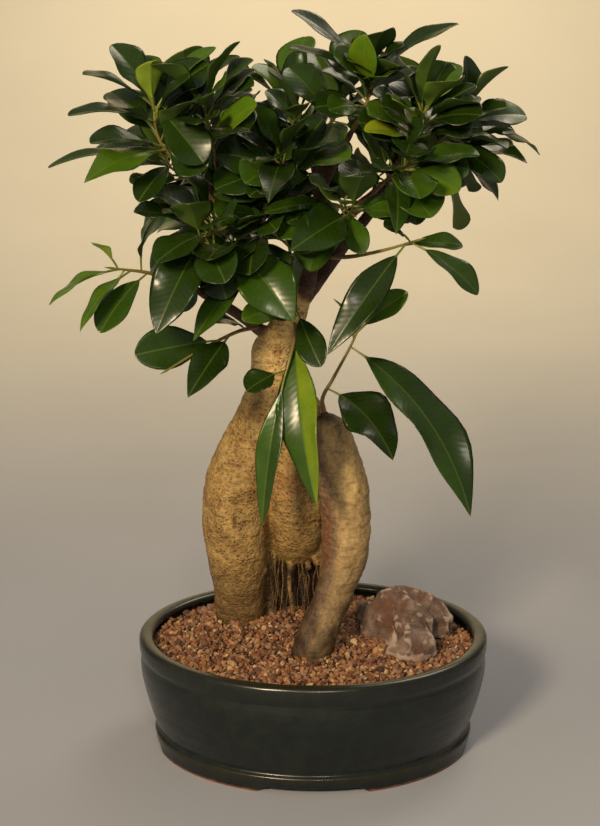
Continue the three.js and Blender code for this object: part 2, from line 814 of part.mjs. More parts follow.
const wood = trunk();
addPiece("pot", surface(pot()), 0x20281f, 0.25);
addPiece("drain_screen_left", surface(screen(-drainHoleX)), 0x3a3a3a, 0.6);
addPiece("drain_screen_right", surface(screen(drainHoleX)), 0x3a3a3a, 0.6);
addPiece("soil", surface(soil()), 0x3a2a1c, 1);
addPiece("gravel", surface(gravel(stoneBedding())), 0xa8764f, 0.9);
addPiece("stone", surface(hull(stoneBlock).add(hull(stoneLobe))), 0x9a8278, 0.8);
addPiece("trunk", surface(wood), 0x9c7a52, 0.8);
for (const { name, stem, leaves } of leafyStems(wood)) {
  addPiece(name, surface(joined([stem, ...leaves])), 0x2c5a18, 0.4);
}

export default tree;
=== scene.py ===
"""The looks of the potted ginseng ficus bonsai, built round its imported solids. Metres, +Z up. The tree's
front looks along -Y. Sizes are written in millimetres and turned into metres when a mesh is made."""

import math

import bmesh
import bpy
import numpy as np
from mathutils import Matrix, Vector


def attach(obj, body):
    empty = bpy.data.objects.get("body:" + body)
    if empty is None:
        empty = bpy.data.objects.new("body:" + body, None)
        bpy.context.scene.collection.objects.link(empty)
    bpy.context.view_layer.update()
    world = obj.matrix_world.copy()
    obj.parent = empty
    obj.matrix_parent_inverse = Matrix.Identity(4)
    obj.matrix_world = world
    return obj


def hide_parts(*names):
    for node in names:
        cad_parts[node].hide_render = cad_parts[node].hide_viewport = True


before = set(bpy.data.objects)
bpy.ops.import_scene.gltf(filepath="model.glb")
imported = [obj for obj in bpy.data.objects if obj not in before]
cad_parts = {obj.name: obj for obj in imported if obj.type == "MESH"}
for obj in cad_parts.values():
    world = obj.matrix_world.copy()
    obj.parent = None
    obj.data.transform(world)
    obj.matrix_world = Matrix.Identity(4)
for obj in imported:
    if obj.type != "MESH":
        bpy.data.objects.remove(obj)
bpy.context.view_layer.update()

MM = 0.001
# How level rings are drawn out of a pattern: along X, Y and Z
RINGS = (0.16, 0.16, 1.0)

# The pot, in millimetres: half length and half depth at the rim, and heights
RIM_X = 101.5
RIM_Y = 84.0
POT_HEIGHT = 67.8
FLOOR_TOP = 10.0
UNDERSIDE = 4.0
FOOT_INSET = 9.2
FOOT_LIFT = 3.2
FRONT_GAP = 55.0
SIDE_GAP = 40.0
DRAIN_X = 44.0
DRAIN_RADIUS = 7.0
POT_SIDES = 180

# The filling, in millimetres
GRAVEL_LOW = 51.3
GRAVEL_EDGE = 60.5
GRAVEL_SINK = 0.9
MOUND = 5.5
MOUND_X = -14.0
MOUND_Y = 6.0
MOUND_REACH = 36.0
HEAP = 6.0
HEAP_X = -10.0
HEAP_Y = 22.0
HEAP_REACH = 9.0
GRAIN = 3.5
GRAIN_PITCH = 2.75

# The leaves, in millimetres and shares
STALK = 8.0
STALK_SHARE = 0.3
STALK_ROOT = 0.45
STALK_END = 0.65
LEAF_THICK = 0.5
LEAF_FOLD = 0.22
LEAF_ARCH = 0.16
CLEARANCE = 0.3
BUD = 7.0
STEM_START = 2.0
STEM_SHARE = 0.7
STEM_TIP = 0.55
TWIG_END = 0.75
EXTRA_SHARE = 0.7
EXTRA_LENGTH = 0.92
# The two powers that shape a blade's outline, for a leaf that hangs and for the others
POINTED = (0.9, 0.95)
BLUNT = (1.5, 0.57)
# The swings that a leaf tries one after another, from its own place on
SWINGS = (0, 7, -7, 14, -14, 21, -21, 28, -28)
GOLDEN_ANGLE = 137.5


def linear(code, alpha=1.0):
    """An sRGB hex colour as linear light."""
    parts = [int(code[i : i + 2], 16) / 255 for i in (1, 3, 5)]
    return (*[c / 12.92 if c <= 0.04045 else ((c + 0.055) / 1.055) ** 2.4 for c in parts], alpha)


def smooth(low, high, value):
    """0 below low, 1 above high, and 3t² - 2t³ between them."""
    t = np.clip((value - low) / (high - low), 0, 1)
    return t * t * (3 - 2 * t)


def draw(seed):
    """A draw between 0 and 1 from a number: the fraction of a large multiple of its sine."""
    wave = math.sin(seed * 12.9898) * 43758.5453
    return wave - math.floor(wave)


def noise(points, cell, seed=0):
    """Smooth noise from -1 to 1: a draw at each corner of cubes of side cell, blended between the
    corners by 3t² - 2t³ along each axis. Large primes scramble a corner's place into its draw."""
    scaled = np.asarray(points) / cell
    corner = np.floor(scaled).astype(np.int64)
    part = scaled - corner
    part = part * part * (3 - 2 * part)
    total = np.zeros(len(scaled))
    for index in range(8):
        step = np.array([index & 1, index >> 1 & 1, index >> 2 & 1])
        x, y, z = (corner + step).T
        scrambled = (x * 73856093) ^ (y * 19349663) ^ (z * 83492791) ^ (seed * 49979687 + 1013)
        scrambled = (scrambled ^ (scrambled >> 13)) * 1274126177 & 0x7FFFFFFF
        weight = np.where(step, part, 1 - part).prod(axis=1)
        total += weight * ((scrambled >> 8 & 0xFFFF) / 32767.5 - 1)
    return total


def layered(points, cell, seed=0, layers=3):
    """Noise over itself: each layer half the size and half the strength of the one before."""
    return sum(noise(points, cell / 2**i, seed + i) / 2**i for i in range(layers))


def unit(v):
    return v / np.linalg.norm(v, axis=-1, keepdims=True)


def along_curve(points, shares):
    """Points of the centripetal Catmull-Rom curve through points, whose knots are spaced by the square
    root of the distance, at shares from 0 to 1 that count the points evenly."""
    points = np.asarray(points, float)
    full = np.vstack([2 * points[0] - points[1], points, 2 * points[-1] - points[-2]])
    at = np.clip(np.atleast_1d(shares), 0, 1) * (len(points) - 1)
    span = np.minimum(at.astype(int), len(points) - 2)
    t = (at - span)[:, None]
    p0, p1, p2, p3 = (full[span + i] for i in range(4))
    k0, k1, k2 = (np.sqrt(np.linalg.norm(b - a, axis=1))[:, None] for a, b in ((p0, p1), (p1, p2), (p2, p3)))
    leave = ((p1 - p0) / k0 - (p2 - p0) / (k0 + k1) + (p2 - p1) / k1) * k1
    arrive = ((p2 - p1) / k1 - (p3 - p1) / (k1 + k2) + (p3 - p2) / k2) * k1
    bend = -3 * p1 + 3 * p2 - 2 * leave - arrive
    twist = 2 * p1 - 2 * p2 + leave + arrive
    return p1 + t * (leave + t * (bend + t * twist))


def around(sides):
    """Angles all the way round, the first at 0."""
    return np.linspace(0, 2 * math.pi, sides, endpoint=False)


def ovals(half_x, half_y, z, sides, x=0, y=0):
    """Level oval rings about x and y: the half axes times the cosine and the sine of the angles around."""
    angle = around(sides)
    rings = x + half_x * np.cos(angle), y + half_y * np.sin(angle), z + 0 * angle
    return np.stack(np.broadcast_arrays(*rings), -1)


def curve_way(points, share):
    """The curve's direction, from points a little before and after."""
    low, high = along_curve(points, [max(share - 1e-4, 0), min(share + 1e-4, 1)])
    return unit(high - low)


def tube(path, radius, sides):
    """A closed tube: round rings of each radius about each point of a path, square to it. The rings are
    turned by the direction that the path bends towards least, so they don't spin."""
    way = unit(np.gradient(path, axis=0))
    still = np.linalg.svd(way)[2][-1]
    side = unit(np.cross(way, still))
    other = np.cross(side, way)
    angle = around(sides)[:, None]
    spoke = side[:, None] * np.cos(angle) + other[:, None] * np.sin(angle)
    return skin(path[:, None] + spoke * np.asarray(radius)[:, None, None], path[0], path[-1])


def skin(rings, start=None, end=None):
    """A closed skin through rings of points, an array of rows x sides x 3. Each end closes to one
    point: the given one, or the middle of its ring. Its faces look outwards."""
    rows, sides = rings.shape[:2]
    start = rings[0].mean(axis=0) if start is None else start
    end = rings[-1].mean(axis=0) if end is None else end
    points = np.vstack([rings.reshape(-1, 3), start, end])
    k = np.arange(sides)
    after = (k + 1) % sides
    row = np.arange(rows - 1)[:, None] * sides
    quads = np.stack([row + k, row + after, row + sides + after, row + sides + k], -1).reshape(-1, 4)
    last = (rows - 1) * sides
    low = np.stack([np.full(sides, rows * sides), after, k], -1)
    high = np.stack([np.full(sides, rows * sides + 1), last + k, last + after], -1)
    tris = np.vstack([low, high])
    if volume(points, quads, tris) < 0:
        quads, tris = quads[:, ::-1], tris[:, ::-1]
    return {"points": points, "quads": quads, "tris": tris, "values": {}}


def volume(points, quads, tris):
    """The volume inside a closed skin: a sixth of the sum of a · (b × c) over its triangles."""
    whole = np.vstack([quads[:, [0, 1, 2]], quads[:, [0, 2, 3]], tris])
    a, b, c = (points[whole[:, i]] for i in range(3))
    return np.einsum("ij,ij->i", a, np.cross(b, c)).sum() / 6


def gathered(skins):
    """Several skins as one, with their values at the points."""
    first = np.cumsum([0] + [len(s["points"]) for s in skins])
    return {
        "points": np.vstack([s["points"] for s in skins]),
        "quads": np.vstack([s["quads"] + n for s, n in zip(skins, first)]),
        "tris": np.vstack([s["tris"] + n for s, n in zip(skins, first)]),
        "values": {k: np.concatenate([s["values"][k] for s in skins]) for k in skins[0]["values"]},
    }


def made_mesh(name, body, smooth_faces=True):
    """A skin in millimetres as a mesh object in metres. Its values become attributes of the points."""
    quads, tris = body["quads"], body["tris"]
    mesh = bpy.data.meshes.new(name)
    mesh.vertices.add(len(body["points"]))
    mesh.vertices.foreach_set("co", (body["points"] * MM).ravel())
    mesh.loops.add(quads.size + tris.size)
    mesh.loops.foreach_set("vertex_index", np.concatenate([quads.ravel(), tris.ravel()]).astype(np.int32))
    sizes = np.concatenate([np.full(len(quads), 4), np.full(len(tris), 3)])
    mesh.polygons.add(len(sizes))
    mesh.polygons.foreach_set("loop_start", (np.cumsum(sizes) - sizes).astype(np.int32))
    mesh.polygons.foreach_set("use_smooth", np.full(len(sizes), smooth_faces))
    mesh.update(calc_edges=True)
    for key, value in body["values"].items():
        valued(mesh, key, value)
    piece = bpy.data.objects.new(name, mesh)
    bpy.context.collection.objects.link(piece)
    return piece


def valued(mesh, key, value):
    """Writes one number or one vector for each point of a mesh, as the attribute key."""
    form, field = ("FLOAT", "value") if value.ndim == 1 else ("FLOAT_VECTOR", "vector")
    mesh.attributes.new(key, form, "POINT").data.foreach_set(field, value.astype(np.float32).ravel())


def read(mesh, field):
    """The place ("co") or the normal of each point of a mesh, in rows of three."""
    values = np.empty(len(mesh.vertices) * 3)
    mesh.vertices.foreach_get(field, values)
    return values.reshape(-1, 3)


def placed(mesh, points):
    """Puts the points of a mesh at new places, in millimetres."""
    mesh.vertices.foreach_set("co", (points * MM).ravel())
    mesh.update()


def settled(piece, material, replaced=()):
    """Gives a piece its material, its body and the nodes that it stands for."""
    piece.data.materials.clear()
    piece.data.materials.append(material)
    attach(piece, "root")
    if replaced:
        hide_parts(*replaced)
    return piece


def applied(piece):
    """The piece with its modifiers worked into its mesh."""
    bpy.context.view_layer.update()
    seen = piece.evaluated_get(bpy.context.evaluated_depsgraph_get())
    mesh = bpy.data.meshes.new_from_object(seen)
    piece.modifiers.clear()
    piece.data = mesh
    return piece


def moved(piece, shift):
    """Moves each point of a mesh along its normal by shift(points), in millimetres."""
    points = read(piece.data, "co") / MM
    points = points + read(piece.data, "normal") * shift(points)[:, None]
    placed(piece.data, points)
    return points


def standing_proud(mesh, rounds):
    """How far each point stands out from the mean of its neighbours along its normal, in millimetres,
    itself averaged over the neighbours for some rounds."""
    ends = np.empty(len(mesh.edges) * 2, np.int32)
    mesh.edges.foreach_get("vertices", ends)
    a, b = ends.reshape(-1, 2).T
    near = np.bincount(np.append(a, b), minlength=len(mesh.vertices))

    def averaged(value):
        total = np.bincount(np.append(a, b), weights=np.append(value[b], value[a]), minlength=len(value))
        return total / near

    points = read(mesh, "co") / MM
    out = points - np.stack([averaged(averaged(column)) for column in points.T], -1)
    proud = np.einsum("ij,ij->i", out, read(mesh, "normal"))
    for _ in range(rounds):
        proud = averaged(proud)
    return proud


def add(tree, kind, sockets=(), stops=(), **settings):
    """Adds a shader node: settings are its properties, sockets its inputs' values or what links to them,
    and stops a colour ramp's places from 0 to 1 with their hex colours."""
    node = tree.nodes.new("ShaderNode" + kind)
    for name, value in settings.items():
        setattr(node, name, value)
    for name, value in dict(sockets).items():
        if isinstance(value, bpy.types.NodeSocket):
            tree.links.new(value, node.inputs[name])
        else:
            node.inputs[name].default_value = value
    while stops and len(node.color_ramp.elements) < len(stops):
        node.color_ramp.elements.new(0.5)
    for index, (place, code) in enumerate(stops):
        node.color_ramp.elements[index].position = place
        node.color_ramp.elements[index].color = linear(code)
    return node


def new_material(name):
    """An empty material, its tree of nodes, and the place on the object that its patterns read."""
    material = bpy.data.materials.new(name)
    material.use_nodes = True
    tree = material.node_tree
    tree.nodes.clear()
    return material, tree, add(tree, "TexCoord").outputs["Object"]


def held(tree, key, output="Fac"):
    """What the attribute key of the mesh holds."""
    return add(tree, "Attribute", attribute_name=key).outputs[output]


def split(tree, vector):
    """The three numbers of a vector."""
    return add(tree, "SeparateXYZ", {0: vector}).outputs[:3]


def cloud(tree, place, size, detail, output="Fac", **sockets):
    """Soft noise from 0 to 1, its patches a size in millimetres."""
    sockets = {"Vector": place, "Scale": 1 / (size * MM), "Detail": detail, **sockets}
    return add(tree, "TexNoise", sockets).outputs[output]


def cells(tree, place, size, **settings):
    """The distance from the middle of the nearest of scattered cells, a size in millimetres apart."""
    return add(tree, "TexVoronoi", {"Vector": place, "Scale": 1 / (size * MM)}, **settings).outputs[0]


def stretched(tree, place, scale):
    """A place scaled along X, Y and Z, so that a pattern on it is drawn out or squeezed."""
    return add(tree, "Mapping", {"Vector": place, "Scale": scale}).outputs[0]


def maths(tree, operation, *values):
    """Arithmetic on one, two or three values."""
    return add(tree, "Math", dict(enumerate(values)), operation=operation).outputs[0]


def product(tree, value, factor, plus=None):
    """A value times a factor, with a third value added to it if there is one."""
    if plus is None:
        return maths(tree, "MULTIPLY", value, factor)
    return maths(tree, "MULTIPLY_ADD", value, factor, plus)


def ranged(tree, value, low=0.0, high=1.0, start=0.0, end=1.0):
    """A value carried from the range low to high over to start to end, and held at both."""
    sockets = {"Value": value, "From Min": low, "From Max": high, "To Min": start, "To Max": end}
    return add(tree, "MapRange", sockets).outputs[0]


def ramp(tree, value, *stops):
    """The colour at a value from 0 to 1, between stops: their places with their hex colours."""
    return add(tree, "ValToRGB", {"Fac": value}, stops=stops).outputs[0]


def mixed(tree, share, under, over, **settings):
    """A colour with a share of another over it, which is a hex colour or what links to it."""
    over = linear(over) if isinstance(over, str) else over
    return add(tree, "Mix", {0: share, 6: under, 7: over}, data_type="RGBA", **settings).outputs[2]


def bumped(tree, height, strength, depth):
    """The way that a surface faces with a height worked in, its depth in millimetres."""
    sockets = {"Height": height, "Strength": strength, "Distance": depth * MM}
    return add(tree, "Bump", sockets).outputs[0]


def finished(material, tree, colour, roughness, **sockets):
    """Ends a material in one surface shader with those sockets."""
    shader = add(tree, "BsdfPrincipled", {"Base Color": colour, "Roughness": roughness, **sockets})
    add(tree, "OutputMaterial", {"Surface": shader.outputs[0]})
    return material


# The camera, where the photograph was taken from: millimetres and degrees
CAMERA_BACK = 930.0
CAMERA_HEIGHT = 450.0
CAMERA_DOWN = 15.1
CAMERA_LEFT = 0.47
CAMERA_LENS = 74.3

lens = bpy.data.cameras.new("camera")
lens.lens = CAMERA_LENS
lens.sensor_width = 36
camera = bpy.data.objects.new("camera", lens)
camera.location = (0, -CAMERA_BACK * MM, CAMERA_HEIGHT * MM)
camera.rotation_euler = (math.radians(90 - CAMERA_DOWN), 0, math.radians(CAMERA_LEFT))
bpy.context.collection.objects.link(camera)
bpy.context.scene.camera = camera


# The pot's finish: a fired stoneware glaze. It gives the eye a near black with a green cast, a soft
# gloss, a mottle of a few millimetres and faint rings from the wheel. It breaks to olive brown where
# it runs thin on the edges, and leaves the foot's edge as bare reddish clay.
def glaze():
    material, tree, place = new_material("stoneware_glaze")
    mottle = cloud(tree, place, 9, 6.0, Roughness=0.62)
    body = ramp(tree, mottle, (0.3, "#080c0b"), (0.5, "#0e1613"), (0.66, "#131b13"), (0.85, "#1d2417"))
    patchy = cloud(tree, place, 4, 3.0)
    thin = product(tree, held(tree, "thin"), product(tree, patchy, 0.9, 0.2))
    edge = mixed(tree, thin, body, "#292612")
    wander = product(tree, patchy, 1.6 * MM, split(tree, place)[2])
    bare = ranged(tree, wander, 2.4 * MM, 1.9 * MM)
    colour = mixed(tree, bare, edge, "#7a4632")
    rough = product(tree, bare, 0.55, ranged(tree, mottle, start=0.16, end=0.36))
    ripple = cloud(tree, stretched(tree, place, RINGS), 6.5, 2.0)
    return finished(material, tree, colour, rough, Normal=bumped(tree, ripple, 0.45, 1.4), IOR=1.5)


# Rows of the pot's section, going round it from under its middle: a share of the oval, the inset from
# the rim's oval, the height, and how thin the glaze runs there
POT_ROWS = [
    (0.02, 19.2, UNDERSIDE, 0), (0.5, 19.2, UNDERSIDE, 0), (0.98, 19.2, UNDERSIDE, 0),
    (1, 19.2, UNDERSIDE - 0.3, 0), (1, 19.2, 0.4, 0), (1, 18.8, 0, 0), (1, 14, 0, 0), (1, 9.9, 0, 0),
    (1, 9.2, 0.5, 0), (1, 8.9, 4, 0), (1, 8.3, 8.6, 0.6), (1, 8.1, 9.7, 1), (1, 8.7, 10.3, 0.8),
    (1, 9.9, 11.2, 0), (1, 10, 12.2, 0), (1, 8.6, 16, 0), (1, 6.9, 21, 0), (1, 5.2, 26.5, 0),
    (1, 3.8, 32, 0), (1, 2.3, 38, 0), (1, 1.2, 44, 0), (1, 0.6, 49.5, 0), (1, 0.7, 52.6, 0.1),
    (1, 1.0, 54.6, 0.1), (1, 1.4, 56.2, 0), (1, 1.1, 57.6, 0), (1, 0.5, 58.8, 0.15),
    (1, 0.15, 60.2, 0.15), (1, 0, 62.4, 0.1),
    (1, 0, 65.2, 0.2), (1, 0.4, 66.5, 0.5), (1, 1.4, 67.4, 0.7), (1, 3, POT_HEIGHT, 0.5),
    (1, 5, 67.7, 0.4), (1, 6.8, 67.2, 0.5), (1, 7.9, 66.3, 0.7), (1, 8.2, 65, 0.4), (1, 7.8, 63.6, 0.2),
    (1, 6.6, 62.8, 0.1), (1, 6.3, 61, 0), (1, 6.6, 58, 0), (1, 8.2, 40, 0),
    (1, 14.6, 18, 0), (1, 20, FLOOR_TOP + 0.4, 0), (0.96, 20.6, FLOOR_TOP, 0), (0.5, 20.6, FLOOR_TOP, 0),
    (0.02, 20.6, FLOOR_TOP, 0),
]


# The gaps between the feet fade out at the underside where a row's inset is past this, else at the foot
# band's top, and their corners are this wide
UNDERSIDE_INSET = 18.5
BAND_TOP = 9.5
GAP_CORNER = (-1, 4)
# The drain holes' sides, and how far the drill goes past the floor
DRAIN_SIDES = 48
DRILL_PAST = 3.0


def pot():
    """An oval bowl: every row of the section is an oval ring, its half axes the rim's less the inset,
    after one round of corner cutting. Between the feet the low rings rise by the foot lift, by a smooth
    step along the oval, less the higher they are."""
    rows = np.array(POT_ROWS)
    cut = np.stack([0.75 * rows[:-1] + 0.25 * rows[1:], 0.25 * rows[:-1] + 0.75 * rows[1:]], 1)
    rows = np.vstack([rows[:1], cut.reshape(-1, 4), rows[-1:]])
    share, inset, height, thin = (column[:, None] for column in rows.T)
    angle = around(POT_SIDES)
    from_front = np.abs((RIM_X - FOOT_INSET) * np.cos(angle))
    from_side = np.abs((RIM_Y - FOOT_INSET) * np.sin(angle))
    low, high = GAP_CORNER
    feet = [smooth(gap / 2 + low, gap / 2 + high, off) for gap, off in (
        (FRONT_GAP, from_front), (SIDE_GAP, from_side),
    )]
    gap = 1 - np.minimum(*feet)
    fade = np.where(inset > UNDERSIDE_INSET, UNDERSIDE, BAND_TOP)
    z = height + gap * FOOT_LIFT * np.clip(1 - height / fade, 0, 1)
    body = skin(ovals((RIM_X - inset) * share, (RIM_Y - inset) * share, z, POT_SIDES))
    body["values"]["thin"] = np.append(np.repeat(thin, POT_SIDES), [0, 0])
    piece = made_mesh("pot_glazed", body)
    ends = np.array([[UNDERSIDE - DRILL_PAST], [FLOOR_TOP + DRILL_PAST]])
    for x in (-DRAIN_X, DRAIN_X):
        drill = made_mesh("drill", skin(ovals(DRAIN_RADIUS, DRAIN_RADIUS, ends, DRAIN_SIDES, x)))
        cut = piece.modifiers.new("drain", "BOOLEAN")
        cut.operation = "DIFFERENCE"
        cut.solver = "EXACT"
        cut.object = drill
        applied(piece)
        bpy.data.objects.remove(drill)
    return settled(piece, glaze(), ["pot"])


# The drain screens: black polypropylene, matt, with the fine grain of a moulding
def screen_plastic():
    material, tree, place = new_material("black_polypropylene")
    grain = cloud(tree, place, 0.6, 2.0)
    colour = ramp(tree, grain, (0.3, "#191a1b"), (0.8, "#2c2d2f"))
    return finished(material, tree, colour, 0.6, Normal=bumped(tree, grain, 0.2, 0.1))


# The soil: a mix of bark, peat and pumice crumbs of about two millimetres, dark and dull
def soil_mix():
    material, tree, place = new_material("bark_and_peat_soil")
    crumb = cells(tree, place, 2.2)
    colour = ramp(tree, crumb, (0.05, "#4a3626"), (0.4, "#33241a"), (0.8, "#1a110b"))
    return finished(material, tree, colour, 0.95, Normal=bumped(tree, crumb, 0.8, 1.0))


# The gravel: crushed granite and fired clay, three to four millimetres, dull. Most grains are
# pinkish brown, some cream and some grey. The bed between them is painted near black as shade in the
# gaps.
def gravel_stone():
    material, tree, place = new_material("crushed_granite")
    # The two darkest stops, under the grains' tones, give the bed its painted shade
    grain = ramp(
        tree, held(tree, "tone"),
        (0.0, "#1c1009"), (0.08, "#24150c"), (0.1, "#4a2f1e"), (0.22, "#6b4634"), (0.36, "#8a5a36"),
        (0.5, "#a0704a"), (0.6, "#74492e"), (0.7, "#9a6a46"), (0.78, "#857263"), (0.86, "#a87c52"),
        (0.94, "#b9905f"), (1.0, "#c9ac80"),
    )
    speck = cloud(tree, place, 0.9, 4.0)
    shade = ranged(tree, speck, start=0.42, end=1.3)
    colour = mixed(tree, 1.0, grain, shade, blend_type="MULTIPLY")
    return finished(material, tree, colour, 0.82, Normal=bumped(tree, speck, 0.6, 0.4))


def gravel_level(x, y):
    """The gravel's height: level at the rim, with a round mound at the trunk and a small heap between
    the roots, each falling away by the bell curve."""
    away = np.hypot(x - MOUND_X, y - MOUND_Y) / MOUND_REACH
    heap = np.hypot(x - HEAP_X, y - HEAP_Y) / HEAP_REACH
    return GRAVEL_EDGE + MOUND * np.exp(-(away**2) / 2) + HEAP * np.exp(-(heap**2) / 2)


# What stands in the gravel: the middle and half axes of the roots and of the stone's two lobes
STANDING = [
    (-44, 30.2, 14.2, 13.4), (-0.8, -22.3, 11.4, 11.6), (-8, 38.5, 15, 7.6), (55, 13, 24, 15),
    (58, -14, 13, 11),
]
# The bed's rings and sides, its inset from the rim at its underside and at its top, how far its top lies
# under the grains' middles, and how rough it is, in patches of which size
BED_ROWS = 60
BED_SIDES = 160
BED_LOW_INSET = 7.3
BED_INSET = 6.4
BED_UNDER = 0.6
BED_ROUGH = 0.7
BED_CELL = 2.2
# The grains: their inset from the rim, how many lie between the middle and the honeycomb's edge, how far
# they stray from it, as a share, and how much wider spaced, higher and fewer the upper ones are
GRAIN_INSET = 8.4
GRAIN_CELLS = 60
STRAY = 0.3
UPPER_PITCH = 1.3
UPPER_RISE = 1.5
UPPER_CHANCE = 0.32


def gravel_bed():
    """The bed that the grains lie in: oval rings from the gravel's underside up the pot's wall and in
    over its top, which noise roughens."""
    shares = np.linspace(1, 0.02, BED_ROWS)
    inset = np.concatenate([[BED_LOW_INSET] * 2, np.full(BED_ROWS, BED_INSET)])[:, None]
    share = np.concatenate([[0.02, 1], shares])[:, None]
    points = ovals((RIM_X - inset) * share, (RIM_Y - inset) * share, GRAVEL_LOW, BED_SIDES)
    top = points[2:]
    top[..., 2] = gravel_level(top[..., 0], top[..., 1]) - GRAVEL_SINK - BED_UNDER
    top[..., 2] += BED_ROUGH * noise(top.reshape(-1, 3), BED_CELL, 5).reshape(BED_ROWS, BED_SIDES)
    body = skin(points)
    # A low tone for the whole bed: painted shade in the gaps between the grains
    body["values"]["tone"] = np.full(len(body["points"]), 0.04)
    return body


def grains(pitch, rise, chance, seed):
    """Grains on a jittered honeycomb: each an icosahedron whose corners are drawn in or out, stretched
    three ways and turned by a random turn, its middle at the gravel's level plus rise."""
    dice = np.random.default_rng(seed)
    row, column = np.mgrid[-GRAIN_CELLS : GRAIN_CELLS + 1, -GRAIN_CELLS : GRAIN_CELLS + 1]
    x = ((column + 0.5 * (row % 2)) * pitch).ravel()
    y = (row * pitch * math.sqrt(3) / 2).ravel()
    x = x + dice.uniform(-STRAY, STRAY, len(x)) * pitch
    y = y + dice.uniform(-STRAY, STRAY, len(y)) * pitch
    keep = np.hypot(x / (RIM_X - GRAIN_INSET), y / (RIM_Y - GRAIN_INSET)) < 1
    keep &= dice.random(len(x)) < chance
    for mid_x, mid_y, half_x, half_y in STANDING:
        keep &= np.hypot((x - mid_x) / half_x, (y - mid_y) / half_y) > 1
    x, y = x[keep], y[keep]
    count = len(x)
    ball = bmesh.new()
    bmesh.ops.create_icosphere(ball, subdivisions=1, radius=1)
    corners = np.array([v.co for v in ball.verts])
    faces = np.array([[v.index for v in f.verts] for f in ball.faces])
    ball.free()
    shape = corners * dice.uniform(0.6, 1.2, (count, len(corners), 1))
    shape = shape * dice.uniform(0.6, 1.3, (count, 1, 3))
    turns = np.linalg.qr(dice.normal(size=(count, 3, 3)))[0]
    turns[np.linalg.det(turns) < 0, :, 0] *= -1
    size = GRAIN / 2 * dice.uniform(0.6, 1.25, (count, 1, 1))
    middle = np.stack([x, y, gravel_level(x, y) - GRAVEL_SINK + rise + dice.uniform(-0.5, 0.4, count)], -1)
    points = np.einsum("nij,nkj->nki", turns, shape) * size + middle[:, None]
    first = np.arange(count)[:, None, None] * len(corners)
    tone = np.repeat(dice.uniform(0.1, 1, count), len(corners))
    return {
        "points": points.reshape(-1, 3),
        "quads": np.empty((0, 4), int),
        "tris": (faces[None] + first).reshape(-1, 3),
        "values": {"tone": tone},
    }


def gravel():
    """The bed under a full layer of grains and a thin scatter of them higher up."""
    upper = grains(GRAIN_PITCH * UPPER_PITCH, UPPER_RISE, UPPER_CHANCE, 23)
    piece = made_mesh("gravel_grains", gathered([gravel_bed(), grains(GRAIN_PITCH, 0, 1, 11), upper]), False)
    return settled(piece, gravel_stone(), ["gravel"])


# The stone: a weathered lump of granite. It gives the eye a dull pinkish grey with pale crystals,
# rusty stains in its hollows, worn pale edges and dark cracks.
def granite():
    material, tree, place = new_material("weathered_granite")
    mottle = cloud(tree, place, 12, 8.0, Roughness=0.65)
    base = ramp(tree, mottle, (0.3, "#392a22"), (0.43, "#5c4638"), (0.56, "#7c6659"), (0.7, "#a08a7e"))
    spotted = mixed(tree, ranged(tree, cells(tree, place, 0.8), 0.4, 0.1, end=0.4), base, "#9c8778")
    stain = product(tree, held(tree, "rusty"), 0.2, cloud(tree, place, 17, 5.0, Distortion=0.6))
    stained = mixed(tree, ranged(tree, stain, 0.54, 0.7, end=0.75), spotted, "#5e3720")
    broken = product(tree, mottle, 1.3, held(tree, "worn"))
    colour = mixed(tree, ranged(tree, broken, 0.95, 1.7, end=0.75), stained, "#bda697")
    rough = cloud(tree, place, 2.2, 6.0, Roughness=0.7)
    return finished(material, tree, colour, 0.78, Normal=bumped(tree, rough, 1.0, 1.5))


# The stone's chips: how many, how far each reaches and how deep it cuts, in millimetres
FACETS = 18
FACET_REACH = 14.0
FACET_DEPTH = 0.8
STONE_SEED = 8


def stone():
    """The solid stone cut into small cells, its faces moved in and out by layered noise, then chipped:
    each chip presses what stands proud of a plane near one point down onto it. Cracks run where
    another noise crosses zero."""
    piece = bpy.data.objects.new("stone_weathered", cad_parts["stone"].data.copy())
    bpy.context.collection.objects.link(piece)
    whole = bmesh.new()
    whole.from_mesh(piece.data)
    bmesh.ops.remove_doubles(whole, verts=whole.verts, dist=0.01 * MM)
    whole.to_mesh(piece.data)
    whole.free()
    voxels = piece.modifiers.new("voxels", "REMESH")
    voxels.mode = "VOXEL"
    voxels.voxel_size = 0.75 * MM
    soft = piece.modifiers.new("soft", "SMOOTH")
    soft.iterations = 3
    applied(piece)

    points = moved(piece, lambda p: 1.5 + 1.4 * layered(p, 15, 3, 2))
    normals = read(piece.data, "normal")
    dice = np.random.default_rng(STONE_SEED)
    for hit in dice.integers(0, len(points), FACETS):
        way = unit(normals[hit] + dice.normal(size=3) * 0.28)
        near = 1 - smooth(FACET_REACH * 0.6, FACET_REACH, np.linalg.norm(points - points[hit], axis=1))
        proud = (points - points[hit]) @ way + FACET_DEPTH
        points = points - way * (np.maximum(proud, 0) * near)[:, None]
    placed(piece.data, points)

    def weathered(p):
        crack = np.exp(-((noise(p * [1, 1, 0.6], 14, 9) / 0.05) ** 2))
        return 0.5 * layered(p, 3.6, 6, 3) - 0.9 * crack

    points = moved(piece, weathered)
    valued(piece.data, "rusty", patch(points, [46, -2, 78], [15, 22, 9]))
    valued(piece.data, "worn", smooth(0.02, 0.12, standing_proud(piece.data, 3)))
    piece.data.shade_smooth()
    return settled(piece, granite(), ["stone"])


